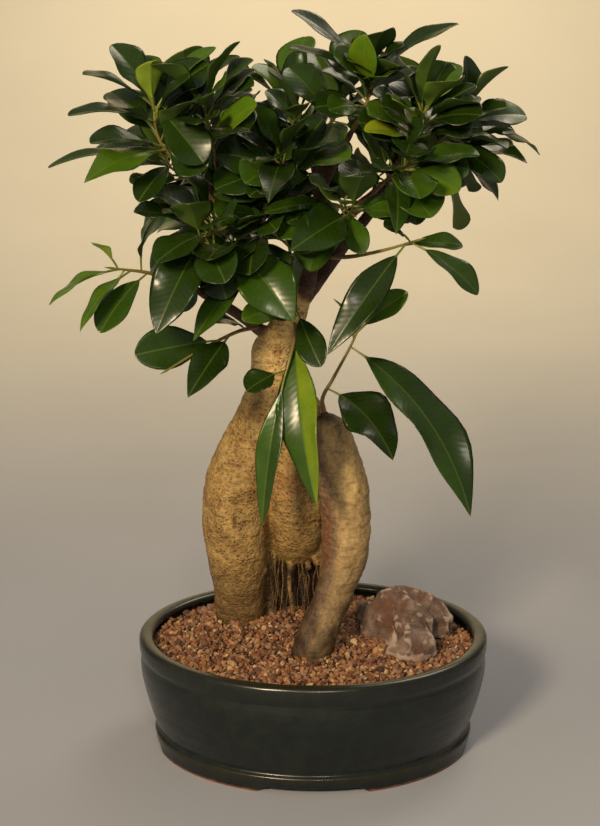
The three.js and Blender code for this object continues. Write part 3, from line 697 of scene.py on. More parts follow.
# The trunk, as level ovals from the top down: height, middle X and Y, half width and half depth
LEFT_ROOT = [
    (258, -9, 12, 6.5, 6.5), (246, -16, 14, 11, 11), (232, -22, 17, 12.9, 12.6), (214, -24, 18, 12.9, 13.4),
    (194, -28.5, 20, 16.2, 16.2), (174, -35.5, 20, 19.6, 19.4), (154, -42.5, 20, 20.6, 21),
    (128, -45.6, 20, 20, 20.6), (102, -45, 22, 17.8, 18), (82, -44.5, 26, 15.4, 15), (64, -44, 30, 14, 13),
    (40, -42, 33, 6, 6),
]
RIGHT_ROOT = [
    (197, 6, 2, 5, 5), (190, 8.5, 3, 10.5, 10.5), (176, 12, 3, 14, 14.5), (154, 17.2, 2, 14.5, 15.2),
    (130, 19.2, 0, 14.1, 14.6), (110, 17, -5, 12.8, 13.4), (94, 11.8, -11, 12.3, 12.8),
    (78, 4.4, -18, 11.8, 12.2), (64, -0.6, -22.4, 10.8, 11.2), (42, -3, -25, 5, 5),
]
MIDDLE_ROOT = [
    (222, -20, 20, 8, 8), (204, -14, 20, 15.5, 14.5), (180, -6.5, 19, 20, 17), (150, -8, 20, 19, 18),
    (124, -9, 23, 17.4, 17), (108, -9.5, 27, 14, 13.4), (98, -8.5, 34, 14, 10), (84, -8, 37, 15, 9),
    (64, -8, 38.5, 16, 8.5), (42, -8, 40, 9, 5),
]
# The thinner wood, as points with their radius: the leader, small knobs, and three roots by the middle one
LEADER = [(-13, 14, 246, 8), (-6, 11, 264, 5.2), (0, 10, 290, 4.1), (4, 8, 326, 4.4)]
KNOBS = [(-29, 17, 98, 2.4), (3, 17, 104, 3.4), (-3, 20, 99, 2.4), (-32, 12, 112, 2.2), (9, -14, 102, 2.0)]
ROOTLETS = [
    [(-13, 22, 104, 2.6), (-14, 17, 88, 1.6), (-12, 18, 72, 1.5), (-12, 19, 54, 1.2)],
    [(-26, 26, 124, 6), (-26, 31, 98, 5.2), (-26, 34, 76, 5.2), (-26, 36, 56, 5)],
    [(5, 20, 130, 5), (6, 24, 108, 4.6), (6, 29, 84, 5), (5, 33, 56, 5)],
]
# The heights of the rings that run round the right root
RING_HEIGHTS = (119, 131, 146.5, 163)
# A swollen root's rings and sides
ROOT_ROWS = 70
ROOT_SIDES = 56
# A limb's rings from one of its points to the next
LIMB_ROWS = 6


def swollen_root(rows):
    """Level oval rings whose height, middle and half axes run on one smooth curve through the rows."""
    curve = along_curve(rows, np.linspace(0, 1, ROOT_ROWS))
    z, x, y, half_x, half_y = (column[:, None] for column in curve.T)
    return skin(ovals(half_x, half_y, z, ROOT_SIDES, x, y))


def limb(rows, sides=12, end=1.0):
    """A round limb along the smooth curve through its points, its radius running straight from point
    to point, the last one times end."""
    rows = np.array(rows, float)
    rows[-1, 3] *= end
    shares = np.linspace(0, 1, (len(rows) - 1) * LIMB_ROWS + 1)
    radius = np.interp(shares * (len(rows) - 1), np.arange(len(rows)), rows[:, 3])
    return tube(along_curve(rows[:, :3], shares), radius, sides)


def out_from(p, rows, across_only=False):
    """How far points lie from a root's middle line, at their own height, as shares of its half axes.
    Above its top and below its foot the height itself adds to it. Across only is the share of the half
    width, less than 0 on the left."""
    z, x, y, half_x, half_y = np.array(rows, float)[::-1].T
    across = (p[:, 0] - np.interp(p[:, 2], z, x)) / np.interp(p[:, 2], z, half_x)
    if across_only:
        return across
    away = np.hypot(across, (p[:, 1] - np.interp(p[:, 2], z, y)) / np.interp(p[:, 2], z, half_y))
    beyond = np.maximum(p[:, 2] - z[-1], 0) + np.maximum(z[0] - p[:, 2], 0)
    return away + beyond / 12


# The bark: living ficus bark, thin and dry. It gives the eye a golden tan skin, netted with pale
# ridges and pricked with dark pits every two to three millimetres, a smoother grey brown on the right
# root, level creases round all of them, and reddish brown young branches.
def bark():
    material, tree, place = new_material("ficus_bark")
    grey, young, dark = split(tree, held(tree, "grown", "Vector"))
    salmon, pale, rust = split(tree, held(tree, "tint", "Vector"))
    mottle = cloud(tree, place, 13, 8.0, Roughness=0.68)
    colour = ramp(tree, mottle, (0.32, "#5c4220"), (0.45, "#7f6234"), (0.56, "#967945"), (0.7, "#a98f5c"))
    dull = ramp(tree, mottle, (0.32, "#4c3826"), (0.46, "#66503a"), (0.58, "#82694c"), (0.72, "#947a58"))
    wood = ramp(tree, mottle, (0.3, "#2e1b16"), (0.5, "#4a2f26"), (0.7, "#6a4a3a"))
    # The salmon tint paints a leaf's shadow, and the pale one paints light on the neck and the right root;
    # the grey, the rust and the young wood are the bark's own colours
    tints = ((grey, dull), (salmon, "#966541"), (pale, "#d4b272"), (rust, "#7a4426"), (young, wood))
    for share, over in tints:
        colour = mixed(tree, share, colour, over)
    wander = cloud(tree, place, 4, 2.0, "Color")
    warped = add(tree, "VectorMath", {0: wander, 1: (1.5 * MM,) * 3, 2: place}, operation="MULTIPLY_ADD")
    squeezed = stretched(tree, warped.outputs[0], (1, 1, 1.25))
    pit = ranged(tree, cells(tree, squeezed, 2.6), 0.34, 0.1)
    ridge = ranged(tree, cells(tree, squeezed, 3.1, feature="DISTANCE_TO_EDGE"), 0.2, 0.02)
    marks = product(tree, pit, ranged(tree, cloud(tree, place, 7, 3.0), 0.3, 0.5))
    creased = cloud(tree, stretched(tree, place, RINGS), 2.6, 4.0)
    crease = ranged(tree, creased, 0.56, 0.68)
    plain = ranged(tree, maths(tree, "MAXIMUM", grey, young), start=1.0, end=0.2)
    pits, ridges = product(tree, marks, plain), product(tree, ridge, plain)
    for amount, share, over in ((ridges, 0.36, "#c6a263"), (pits, 0.4, "#4e341a"), (crease, 0.38, "#543a26")):
        colour = mixed(tree, product(tree, amount, share), colour, over)
    fine = cloud(tree, place, 2.4, 5.0, Roughness=0.6)
    shade = ranged(tree, fine, 0.32, 0.68, 0.7, 1.25)
    mottled = mixed(tree, 1.0, colour, shade, blend_type="MULTIPLY")
    # The dark share paints near black shade into the hollow, behind the roots, on their foot, on the fine
    # roots and partly on the right root's top, and darkens the scar
    colour = mixed(tree, dark, mottled, "#1e100a")
    height = fine
    for amount, share in ((pits, -1.0), (ridges, 0.3), (crease, -0.5)):
        height = product(tree, amount, share, height)
    return finished(material, tree, colour, 0.62, Normal=bumped(tree, height, 0.85, 0.9), IOR=1.4)


def patch(p, middle, reach):
    """1 in a soft round patch about a middle, 0 outside it: the reach is its half axes."""
    return 1 - smooth(0.5, 1.2, np.linalg.norm((p - middle) / reach, axis=1))


def knob(x, y, z, radius):
    """A small round knob: a tube whose radius follows a half circle."""
    rise = radius * np.sin(np.linspace(-1.45, 1.45, 9))
    path = np.column_stack([x + 0 * rise, y + 0 * rise, z + rise])
    return tube(path, np.sqrt(radius**2 - rise**2), 12)


# The thin feeding roots: how many, their random draws, the rings of each, and how high they start
FINE_ROOTS = 22
FINE_ROOT_SEED = 12
FINE_ROOT_ROWS = 26
FINE_ROOT_TOP = 107


def fine_roots(material):
    """Thin feeding roots that hang from the middle root's foot into the gravel, each on a smooth curve
    through points that wander a little."""
    dice = np.random.default_rng(FINE_ROOT_SEED)
    parts = []
    for _ in range(FINE_ROOTS):
        top = np.array([dice.uniform(-28, 6), dice.uniform(17, 24), FINE_ROOT_TOP])
        foot = top + [dice.uniform(-4, 4), dice.uniform(-1, 5), 0]
        foot[2] = gravel_level(foot[0], foot[1]) - 2
        knots = top + (foot - top) * np.linspace(0, 1, 6)[:, None]
        knots[1:-1] += dice.uniform(-1.4, 1.4, (4, 3)) * [1, 1, 0.5]
        thick = dice.uniform(0.2, 0.55)
        path = along_curve(knots, np.linspace(0, 1, FINE_ROOT_ROWS))
        part = tube(path, np.linspace(thick, 0.6 * thick, FINE_ROOT_ROWS), 8)
        size = len(part["points"])
        # Their dark share, drawn at random, is painted shade for the hollow that they hang in
        grown = np.tile([0.5, 0, dice.uniform(0.1, 0.6)], (size, 1))
        part["values"] = {"grown": grown, "tint": np.zeros((size, 3))}
        parts.append(part)
    return settled(made_mesh("fine_roots", gathered(parts)), material)


# Patches on the bark, each a middle and how far it reaches: the right root's dark top, partly painted
# shade under the leaves, the scar on the left root, the painted shade behind, a salmon patch painted as a
# leaf's shadow, a patch of painted light, and rusty skin
CAP = ([7, 0, 200], [8, 8, 10])
SCAR = ([-45, 1, 134], [1.5, 6, 5])
SHADE = ([-24, 34, 82], [8, 10, 27])
SALMON = ([-16, 3, 155], [11, 9, 9])
LIT = ([20, -12, 160], [6, 9, 15])
RUSTY_NECK = ([-20, 4, 234], [3, 5, 5])
RUSTY_ROOT = ([6, -10, 128], [5, 8, 24])


def trunk(material):
    """The three roots, the leader, the roots behind, the knobs and every stem's branch grown into one
    skin. Layered noise swells and wrinkles it: broad swellings, smaller knots, rings and a seam on the
    right root, and a scar on the left one."""
    parts = [swollen_root(rows) for rows in (LEFT_ROOT, RIGHT_ROOT, MIDDLE_ROOT)]
    parts += [limb(rows, 16) for rows in (LEADER, *ROOTLETS)]
    parts += [limb(row["wood"], end=TWIG_END) for row in STEMS.values()]
    parts += [knob(*row) for row in KNOBS]
    piece = made_mesh("trunk_bark", gathered(parts))
    grown = piece.modifiers.new("grown", "REMESH")
    grown.mode = "VOXEL"
    grown.voxel_size = 1.0 * MM
    soft = piece.modifiers.new("soft", "SMOOTH")
    soft.iterations = 5
    applied(piece)

    def grown_uneven(p):
        across = out_from(p, RIGHT_ROOT, across_only=True)
        seam = np.exp(-(((across + 0.38) / 0.09) ** 2)) * (p[:, 1] < 0) * (out_from(p, RIGHT_ROOT) < 1.2)
        rings = sum(np.exp(-(((p[:, 2] - z - 0.12 * p[:, 0]) / 0.8) ** 2)) for z in RING_HEIGHTS)
        scar = patch(p, *SCAR)
        thick = 1 - smooth(1.2, 1.7, np.minimum(out_from(p, LEFT_ROOT), out_from(p, RIGHT_ROOT)))
        broad = 1.1 * layered(p * [1, 1, 0.6], 17, 31, 2)
        knots = 0.5 * layered(p * [1, 1, 0.8], 4.2, 37, 3)
        even = (0.25 + 0.75 * thick) * broad + (0.5 + 0.5 * thick) * knots
        return even - 0.9 * seam - 0.45 * rings * thick * smooth(-34, -24, p[:, 0]) - 0.8 * scar

    p = moved(piece, grown_uneven)
    left, right, middle = (out_from(p, rows) for rows in (LEFT_ROOT, RIGHT_ROOT, MIDDLE_ROOT))
    greyed = 0.4 * smooth(118, 84, p[:, 2])
    grey = np.maximum(smooth(-0.12, 0.12, np.minimum(left, middle) - right), greyed)
    lit_side = smooth(-0.5, -0.25, out_from(p, RIGHT_ROOT, across_only=True))
    young = smooth(1.2, 1.7, np.minimum(np.minimum(left, middle), right)) * smooth(185, 200, p[:, 2])
    # Painted shade: the hollow under the middle root's overhang darkens to near black, fading out towards the
    # back
    hollow = smooth(104, 97, p[:, 2]) * smooth(0.1, -0.1, middle - np.minimum(left, right))
    # The right root's dark top, partly painted shade under the leaves, and the darker scar
    cap = np.maximum(0.85 * patch(p, *CAP), 0.55 * patch(p, *SCAR))
    foot = smooth(0.2, -0.2, right - left)
    # Painted shade: the bark darkens towards the gravel, most on the right root, with some noise
    foot_shade = (0.3 + 0.4 * foot) * smooth(110 + 20 * foot, 72, p[:, 2]) * (1 - 0.4 * noise(p, 6, 51))
    # Painted shade in the gap behind the roots
    behind = 0.75 * patch(p, *SHADE)
    dark = np.max([cap, foot_shade, behind, 0.94 * hollow * smooth(43, 34, p[:, 1])], axis=0)
    # A salmon patch painted where a leaf's shadow falls on the roots' front
    salmon = 0.5 * patch(p, *SALMON) * (1 - grey)
    # Painted light: the neck is made paler where the crown shades it
    neck = smooth(196, 218, p[:, 2]) * smooth(1.4, 1.15, out_from(p, LEFT_ROOT))
    # Painted light: a lit patch and a paler stripe down most of the right root's front
    lit = 0.6 * patch(p, *LIT) + 0.35 * grey * lit_side
    pale = np.maximum(lit, 0.85 * neck)
    rust = np.maximum(0.7 * patch(p, *RUSTY_NECK), 0.45 * patch(p, *RUSTY_ROOT))
    # The grown attribute carries the grey and young bark and the painted shade; tint carries the salmon
    # shadow, the painted light and the rust
    valued(piece.data, "grown", np.stack([grey, young, dark], -1))
    valued(piece.data, "tint", np.stack([salmon, pale, rust], -1))
    piece.data.shade_smooth()
    return settled(piece, material, ["trunk"])


def shoot(wood, stem, more=(0, 0), leaves=()):
    """A leafy stem. wood: the branch that carries it, as points with their radius. stem: the points that
    the green stem goes on through. more: how many leaves the rule adds, and their length. leaves: where
    along the stem the stalk starts, the leaf's tip, its blade's width, its roll in degrees, and for a
    leaf that bows sideways, the share of its length."""
    return {"wood": wood, "stem": stem, "more": more, "leaves": leaves}


STEMS = {
    "upper_left": shoot(
        [
            (-18, 14, 246, 5.5), (-29, 5, 274, 4.4), (-40, -7, 304, 3.6), (-50, -16, 322, 3),
            (-60, -24, 334, 2.6),
        ],
        [(-73, -37, 346), (-81, -45, 360), (-82, -47, 376)], (6, 40),
        [
            (0.95, -115, -70, 392, 15, 0), (0.9, -81, -58, 398, 14, 0), (0.9, -51, -30, 403, 12, 0),
            (0.8, -39, -22, 398, 12, 0), (0.95, -103, -56, 405, 20, 20), (0.8, -122, -76, 372, 14, 0),
            (0.5, -112, -72, 358, 18, 20), (0.35, -132, -82, 347, 12, 0), (0.45, -113, -79, 341, 17, 20),
            (0.3, -89, -68, 328, 14, 20), (0.55, -54, -60, 345, 22, 20),
        ],
    ),
    "left_crown": shoot(
        [(-50, -16, 322, 2.8), (-51, -22, 336, 2.4)], [(-52, -32, 352), (-55, -40, 366), (-57, -43, 374)],
        (8, 38), [(0.75, -30, -42, 392, 20, 0), (0.45, -37, -46, 377, 14, 0)],
    ),
    "centre": shoot(
        [(2, 9, 306, 3.4), (-6, -6, 322, 2.4)], [(-12, -21, 334), (-18, -35, 345)], (11, 40),
        [(0.6, -33, -62, 330, 16, 20), (0.9, -22, -106, 333, 18, 10)],
    ),
    "centre_low": shoot(
        [(-30, 3, 278, 3.2), (-29, -13, 294, 2.3)], [(-27, -26, 306), (-23, -40, 317)], (9, 36),
    ),
    "front_left": shoot(
        [(-22, 8, 262, 3.6), (-32, -10, 276, 2.2)], [(-38, -24, 290), (-43, -38, 302)], (4, 36),
        [(0.95, -10, -62, 265, 28, 0), (0.5, -14, -44, 262, 15, 0), (0.3, -63, -60, 254, 14, 20)],
    ),
    "top_middle": shoot(
        [(4, 8, 326, 3.6), (3, 3, 345, 3), (-3, -2, 354, 2.4)], [(-8, -8, 357), (-13, -15, 359)], (4, 26),
        [(0.3, -24, -30, 391, 19, 10), (0.7, -4, -28, 389, 12, 20), (0.7, -16, -24, 400, 11, -10)],
    ),
    "top_right": shoot(
        [(4, 8, 326, 3.6), (12, 5, 342, 3), (21, 0, 358, 2.6)],
        [(27, -6, 369), (29, -12, 379), (28, -16, 387)], (9, 32),
        [
            (0.6, 26, -12, 405, 12, 0), (0.9, -12, -20, 421, 14, -3), (0.95, 35, -6, 411, 24, 10),
            (0.5, 10, -46, 399, 24, 20), (0.9, 76, -10, 414, 15, -10),
        ],
    ),
    "right_crown": shoot(
        [(42, -3, 328, 2.8), (49, -8, 341, 2.4)], [(54, -14, 355), (58, -19, 368)], (10, 38),
        [
            (0.85, 65, -26, 404, 15, 0), (0.7, 86, -10, 382, 12, 0), (0.6, 40, -48, 378, 12, 0),
            (0.4, 26, -50, 362, 12, 0),
        ],
    ),
    "right_outer": shoot(
        [(1, 10, 292, 3.8), (20, 3, 312, 3.2), (42, -3, 328, 2.8), (57, -1, 341, 2.5), (65, 5, 347, 2.3)],
        [(74, 13, 354), (82, 22, 359)], (6, 42),
        [(0.6, 113, 42, 353, 14, 0), (0.9, 132, 72, 336, 14, 0), (0.3, 101, -12, 331, 18, 30)],
    ),
    "right_middle": shoot(
        [(20, 3, 312, 2.8), (32, -8, 325, 2.4)], [(41, -19, 335), (50, -29, 343)], (9, 36),
        [
            (0.8, 76, -40, 330, 20, 20), (0.5, 61, -54, 317, 26, 20), (0.3, 53, -34, 312, 12, 0),
            (0.6, 42, -50, 311, 14, 0),
        ],
    ),
    "front_crown": shoot(
        [(4, 8, 318, 3), (9, -6, 318, 2.4)], [(14, -20, 319), (20, -34, 317)], (8, 36),
        [
            (0.5, 26, -48, 298, 13, 20), (0.95, -12, -74, 304, 24, 20), (0.4, -14, -58, 316, 16, 20),
            (0.7, -25, -72, 322, 12, 0),
        ],
    ),
    "right_low": shoot(
        [(0, 10, 288, 3), (11, -5, 289, 2.2)], [(21, -20, 292), (38, -34, 298), (53, -42, 304)],
        leaves=[
            (0.95, 36, -56, 314, 12, 0), (0.8, 79, -32, 300, 12, 0), (0.9, 7, -70, 249, 17, 0),
            (0.95, 86, -22, 277, 17, 0),
        ],
    ),
    "left_tip": shoot(
        [(-22, 12, 238, 4.2), (-42, 0, 256, 3.2), (-60, -14, 270, 2.6), (-74, -24, 279, 2.2)],
        [(-88, -37, 286), (-104, -52, 291)],
        leaves=[
            (0.9, -134, -84, 278, 12, 0), (0.5, -110, -72, 261, 16, 20), (0.75, -119, -82, 264, 10, 0),
            (0.85, -113, -70, 259, 10, 0), (0.6, -84, -50, 316, 14, 20), (0.95, -114, -62, 306, 10, 0),
        ],
    ),
    "left_middle": shoot(
        [(-40, -7, 304, 2.8), (-46, -18, 306, 2.3)], [(-53, -32, 307), (-60, -46, 304)], (7, 40),
        [(0.9, -81, -76, 261, 24, 20), (0.6, -80, -74, 298, 18, 20), (0.5, -77, -64, 322, 12, 0)],
    ),
    "left_low": shoot(
        [(-22, 14, 244, 3.4), (-32, -2, 249, 1.9)], [(-42, -19, 250), (-61, -43, 245), (-76, -60, 239)],
        leaves=[(0.5, -94, -58, 246, 21, 45), (0.2, -58, -50, 263, 14, 30), (0.4, -66, -66, 225, 17, 30)],
    ),
    "neck_front": shoot(
        [(-9, 12, 256, 4), (-11, 0, 259, 2.6)], [(-11, -11, 262), (-9, -19, 263)],
        leaves=[(0.9, 4, -46, 237, 15, 20), (0.6, -38, -44, 262, 14, 20)],
    ),
    "hanging": shoot(
        [(-10, 12, 249, 4), (-10, -2, 249, 2.2)], [(-10, -12, 248), (-12, -22, 240), (-16, -28, 226)],
        leaves=[(0.3, 2, -50, 160, 22, 24), (0.9, -36, -40, 222, 17, 0), (0.95, -28, -40, 145, 13, 0)],
    ),
    "root_top": shoot(
        [(8, 3, 188, 6), (6, -1, 200, 3.2)],
        [(5, -6, 209), (11, -14, 223), (20, -24, 243), (24, -28, 253)],
        leaves=[
            (0.75, 84, -64, 159, 28, 0, -0.13), (0.38, 43, -46, 185, 27, 0, -0.12),
            (0.95, 50, -40, 276, 13, 40), (0.9, 27, -46, 281, 10, 0), (0.85, 11, -44, 273, 8, 0),
        ],
    ),
    "left_side": shoot(
        [(-40, -7, 304, 2.8), (-52, 2, 316, 2.4)], [(-68, 12, 328), (-84, 18, 338)], (8, 43),
    ),
    "back_left_low": shoot(
        [(-30, 34, 274, 3), (-42, 42, 284, 2.4)], [(-54, 52, 296), (-62, 60, 308)], (7, 41),
    ),
    "back_left_high": shoot(
        [(-17, 18, 244, 5.5), (-30, 34, 274, 4), (-44, 48, 302, 3.2), (-54, 56, 326, 2.5)],
        [(-61, 62, 344), (-65, 66, 362)], (9, 45),
    ),
    "back_right_high": shoot(
        [(-8, 14, 258, 4.6), (12, 30, 282, 3.6), (32, 46, 306, 3), (46, 56, 328, 2.5)],
        [(54, 62, 346), (58, 66, 362)], (9, 45),
    ),
    "back_right_low": shoot(
        [(32, 46, 306, 2.8), (34, 56, 314, 2.4)], [(36, 67, 322), (35, 76, 328)], (7, 41),
    ),
    "back_middle": shoot(
        [(3, 9, 316, 3.2), (1, 26, 332, 2.8), (-3, 38, 344, 2.4)], [(-8, 52, 354), (-12, 66, 360)],
        (9, 43),
    ),
    "back_low": shoot(
        [(-14, 22, 254, 3.6), (-14, 38, 268, 2.6)], [(-14, 54, 284), (-16, 70, 298)], (8, 43),
    ),
    "top_back": shoot(
        [(3, 6, 338, 2.8), (4, 15, 352, 2.4)], [(10, 26, 360), (16, 34, 366)], (8, 43),
    ),
    "right_side": shoot(
        [(57, -1, 341, 2.5), (62, 8, 340, 2.3)], [(70, 22, 340), (80, 36, 342)], (7, 41),
    ),
}

# The tone of each half of some given leaves, from dark at 0 to yellow green at 1, by the leaf's place in
# its stem's list. It is partly youth and partly painted light and shade: the darkest are painted shade,
# and a hanging leaf's lighter half is painted light.
LEAF_YOUTH_AND_PAINTED_LIGHT = {
    "upper_left": {1: (0.7, 0.7), 8: (0.5, 0.5)},
    "left_crown": {1: (0.75, 0.75)},
    "top_right": {0: (0.75, 0.75), 1: (0.0, 0.0), 2: (0.0, 0.0)},
    "hanging": {0: (0.68, 0.36), 2: (0.26, 0.42)},
    "root_top": {0: (0.1, 0.25), 1: (0.0, 0.05)},
    "right_crown": {2: (0.6, 0.65), 3: (0.75, 0.8)},
    "right_middle": {0: (0.5, 0.6)},
    "left_tip": {0: (0.55, 0.55), 1: (0.3, 0.3), 2: (0.5, 0.5), 3: (0.6, 0.6), 5: (0.62, 0.62)},
    "front_left": {0: (0.3, 0.36)},
}
# Leaves that stand in front of the others, placed as the given ones are, and the tone of each half, partly
# youth and partly painted light and shade
FRONT_LEAVES = {
    "upper_left": [((0.97, -56, -63, 347, 22, -15), (0.1, 0.1))],
    "left_crown": [((0.35, -28.5, -70, 377, 17, 40), (0.56, 0.62))],
    "top_right": [
        ((0.62, 26, -44, 410, 15, 180), (0.62, 0.62)), ((0.8, -13, -40, 403, 12, -8), (0.08, 0.08)),
    ],
}
# The crown's middle, which every leaf's face turns away from, and how a leaf's face leans outwards
CROWN_MIDDLE = np.array([0.0, 55.0, 300.0])
FACE_LEAN = 0.95
FACE_LEAN_DROP = 0.8
# The ruled leaves: shares along the stem, opening in degrees, reach, roll, rise, width and swing, and the
# first seeds of the leaves that are added and of those in front
FIRST_ALONG = 0.3
ALONG_SPAN = 0.65
WIDEST_OPENING = 85.0
OPENING_DROP = 45.0
OPENING_SPREAD = 16.0
SHORTEST_REACH = 0.85
REACH_SPREAD = 0.3
ROLL_SPREAD = 40.0
RISE = 0.15
WIDTH_SHARE = 0.56
SWING_TURN = 5.0
SEEDS_PER_STEM = 31
EXTRA_SEEDS = 5000
FRONT_SEEDS = 9000
# In front of this stretch of the leader no leaf is added: the low and the high corner, in millimetres
LEADER_SEEN = np.array([[-6, -90, 292], [22, 2, 360]])
# A leaf that points down counts as hanging from this length, in millimetres, or under this share of its
# length in width
LONG_LEAF = 52.0
SLENDER = 0.3
# How far a leaf's tip may lie from a corner of the solid stem and still be the same leaf
TIP_MATCH = 0.05
# A blade's twist in degrees, the midrib's half width, its rise under and over the blade, how the fold
# curves, the waves along an edge, and how strong they are on a plain and on a hanging leaf
TWIST = 24.0
RIB_HALF = 0.09
RIB_UNDER = -0.42
RIB_OVER = -0.2
FOLD_CURVE = 1.3
WAVES = 1.4
WAVING = 0.14
HANGING_WAVING = 0.3


def stem_points(row):
    """The green stem's points: it starts past the bend at its branch's end, a clearance away."""
    wood = np.array(row["wood"], float)
    stem = np.array(row["stem"], float)
    end, radius = wood[-1, :3], wood[-1, 3]
    wood_way, stem_way = unit(end - wood[-2, :3]), unit(stem[0] - end)
    bend = math.acos(np.clip(wood_way @ stem_way, -1, 1))
    return np.vstack([end + stem_way * (CLEARANCE + radius * math.tan(bend)), stem])


def given_places(points, leaf):
    """The places that a given leaf may take: its tip swings to the front or the back of the tree."""
    along, x, y, z, width, roll, *bow = leaf
    base = along_curve(points, along)[0]
    return [(base, np.array([x, y + swing, z], float), width, roll, sum(bow)) for swing in SWINGS]


def ruled_places(points, index, more, seed):
    """The places that a ruled leaf may take: it leaves the stem at its opening, turned round it by the
    golden angle for each leaf, rises a little, and swings round the stem."""
    count, length = more
    along = FIRST_ALONG + ALONG_SPAN * (index + 0.5) / count
    base, way = along_curve(points, along)[0], curve_way(points, along)
    side = unit(np.cross(way, [0, 0, 1]))
    other = np.cross(side, way)
    own = WIDEST_OPENING - OPENING_DROP * index / count + OPENING_SPREAD * (draw(seed) - 0.5)
    opening = math.radians(own)
    reach = length * (SHORTEST_REACH + REACH_SPREAD * draw(seed + 0.5))
    roll = ROLL_SPREAD * (draw(seed + 0.3) - 0.5)
    places = []
    for swing in SWINGS:
        turn = math.radians(GOLDEN_ANGLE * (index + 1) + SWING_TURN * swing) + seed
        out = side * math.cos(turn) + other * math.sin(turn)
        leaf_way = way * math.cos(opening) + out * math.sin(opening) + [0, 0, RISE]
        places.append((base, base + unit(leaf_way) * reach, reach * WIDTH_SHARE, roll, 0))
    return places


def leaf_face(base, tip, roll):
    """The way a leaf's upper side looks: up and out from the crown's middle, less out the more the leaf
    points up, rolled about the leaf's line."""
    out = (base + tip) / 2 - CROWN_MIDDLE
    way = unit(tip - base)
    lean = FACE_LEAN - FACE_LEAN_DROP * max(0, way[2])
    face = np.append(unit(out[:2]) * lean, 1)
    turn = math.radians(-roll if way[0] < 0 else roll)
    across = np.cross(way, face)
    return face * math.cos(turn) + across * math.sin(turn) + way * (way @ face) * (1 - math.cos(turn))


# A leaf's section, going round it from one edge: the share of the half width, and 1 on the upper side
# or -1 on the underside
HALF_SECTION = (0.85, 0.6, 0.32, 0.08, 0, -0.08, -0.32, -0.6, -0.85)
SECTION = np.array(
    [(1, 0), *[(v, 1) for v in HALF_SECTION], (-1, 0), *[(-v, -1) for v in HALF_SECTION]], float
)
BLADE_ROWS = 20
FULLER = 1.1
STALK_ROWS = 4


def split_alike(body):
    """A leaf's skin with its quads split into triangles along the same lines on both sides, so the two
    sides of a waved blade don't cross: the first half of the section by one diagonal, the rest by the
    other."""
    a, b, c, d = body["quads"].T
    above = np.arange(len(a)) % len(SECTION) < len(SECTION) // 2
    halves = [np.where(above[:, None], np.stack(first, -1), np.stack(rest, -1)) for first, rest in (
        ((a, b, c), (a, b, d)), ((a, c, d), (b, c, d)),
    )]
    return body | {"quads": np.empty((0, 4), int), "tris": np.vstack([*halves, body["tris"]])}


def leaf(base, tip, width, roll, bow, tones, seed):
    """A leaf on its stalk, as rings along an arched line, base to tip. On the stalk a ring is round. On
    the blade its half width is sin(pi u^a)^b of the way u along it, blunt at the tip or, where it hangs,
    pointed. Its section is a thin lens that folds up towards its edges, waves along them, and has a
    groove over the midrib and a rib under it."""
    length = np.linalg.norm(tip - base)
    way = unit(tip - base)
    face = leaf_face(base, tip, roll)
    normal = unit(face - way * (face @ way))
    middle = (base + tip) / 2 + (normal * LEAF_ARCH + np.cross(way, normal) * bow) * length
    stalk = min(STALK / length, STALK_SHARE)
    blade = 0.5 - 0.5 * np.cos(np.linspace(0, 1, BLADE_ROWS + 2)[1:-1] * math.pi)
    low_rows = np.linspace(0, stalk, STALK_ROWS, endpoint=False)
    t = np.concatenate([low_rows, stalk + (1 - stalk) * blade])[:, None]
    centre = (1 - t) ** 2 * base + 2 * t * (1 - t) * middle + t**2 * tip
    tangent = unit((1 - t) * (middle - base) + t * (tip - middle))
    side = unit(np.cross(tangent, normal))
    top = np.cross(side, tangent)
    u = np.clip((t - stalk) / (1 - stalk), 0, 1)
    twist = math.radians(TWIST) * (draw(seed + 0.1) - 0.5) * u
    side, top = side * np.cos(twist) + top * np.sin(twist), top * np.cos(twist) - side * np.sin(twist)
    hanging = tip[2] < base[2] and (length > LONG_LEAF or width < SLENDER * length)
    low, high = POINTED if hanging else BLUNT
    half = FULLER * width / 2 * np.sin(math.pi * np.clip(u, 0.0005, 0.9995) ** low) ** high
    v, upper = SECTION.T
    across = half * v
    lens = LEAF_THICK / 2 * np.sqrt(1 - v**2) * upper
    rib = np.exp(-((v / RIB_HALF) ** 2)) * np.where(upper < 0, RIB_UNDER, RIB_OVER) * (1 - 0.7 * u)
    ripple = np.sin(2 * math.pi * (WAVES * u + draw(seed + 0.7)) + (v > 0) * 1.9) * v**2
    waving = HANGING_WAVING if hanging else WAVING
    fold = LEAF_FOLD * np.abs(v) ** FOLD_CURVE * half
    rise = lens + rib + fold + waving * ripple * half * np.sin(math.pi * u)
    angle = around(len(SECTION))
    stalk_half = STALK_ROOT + (STALK_END - STALK_ROOT) * np.minimum(t / stalk, 1)
    flat = np.where(t < stalk, 0, smooth(-0.01, 0.07, u))
    across = flat * across + (1 - flat) * stalk_half * np.cos(angle)
    rise = flat * rise + (1 - flat) * stalk_half * np.sin(angle)
    rings = centre[:, None] + side[:, None] * across[..., None] + top[:, None] * rise[..., None]
    body = split_alike(skin(rings, base, tip))
    place = np.stack([across, (u * length * (1 - stalk)) + 0 * v, upper + 0 * u], -1).reshape(-1, 3)
    part = np.repeat(0.5 * (1 - flat), len(v))
    tone = np.tile(tones[0] + (tones[1] - tones[0]) * smooth(-0.1, 0.1, v), len(t))
    body["values"] = {
        "blade": np.vstack([place, [0, 0, 0], [0, length, 0]]),
        "tone": np.append(tone, [tones[0]] * 2),
        "part": np.append(part, [0.5, 0]),
    }
    return body


# A stem's sides, its rings from one of its points to the next, and how old its bud looks, where its foot
# is 1
STEM_SIDES = 10
STEM_ROWS = 7
BUD_AGE = 0.55


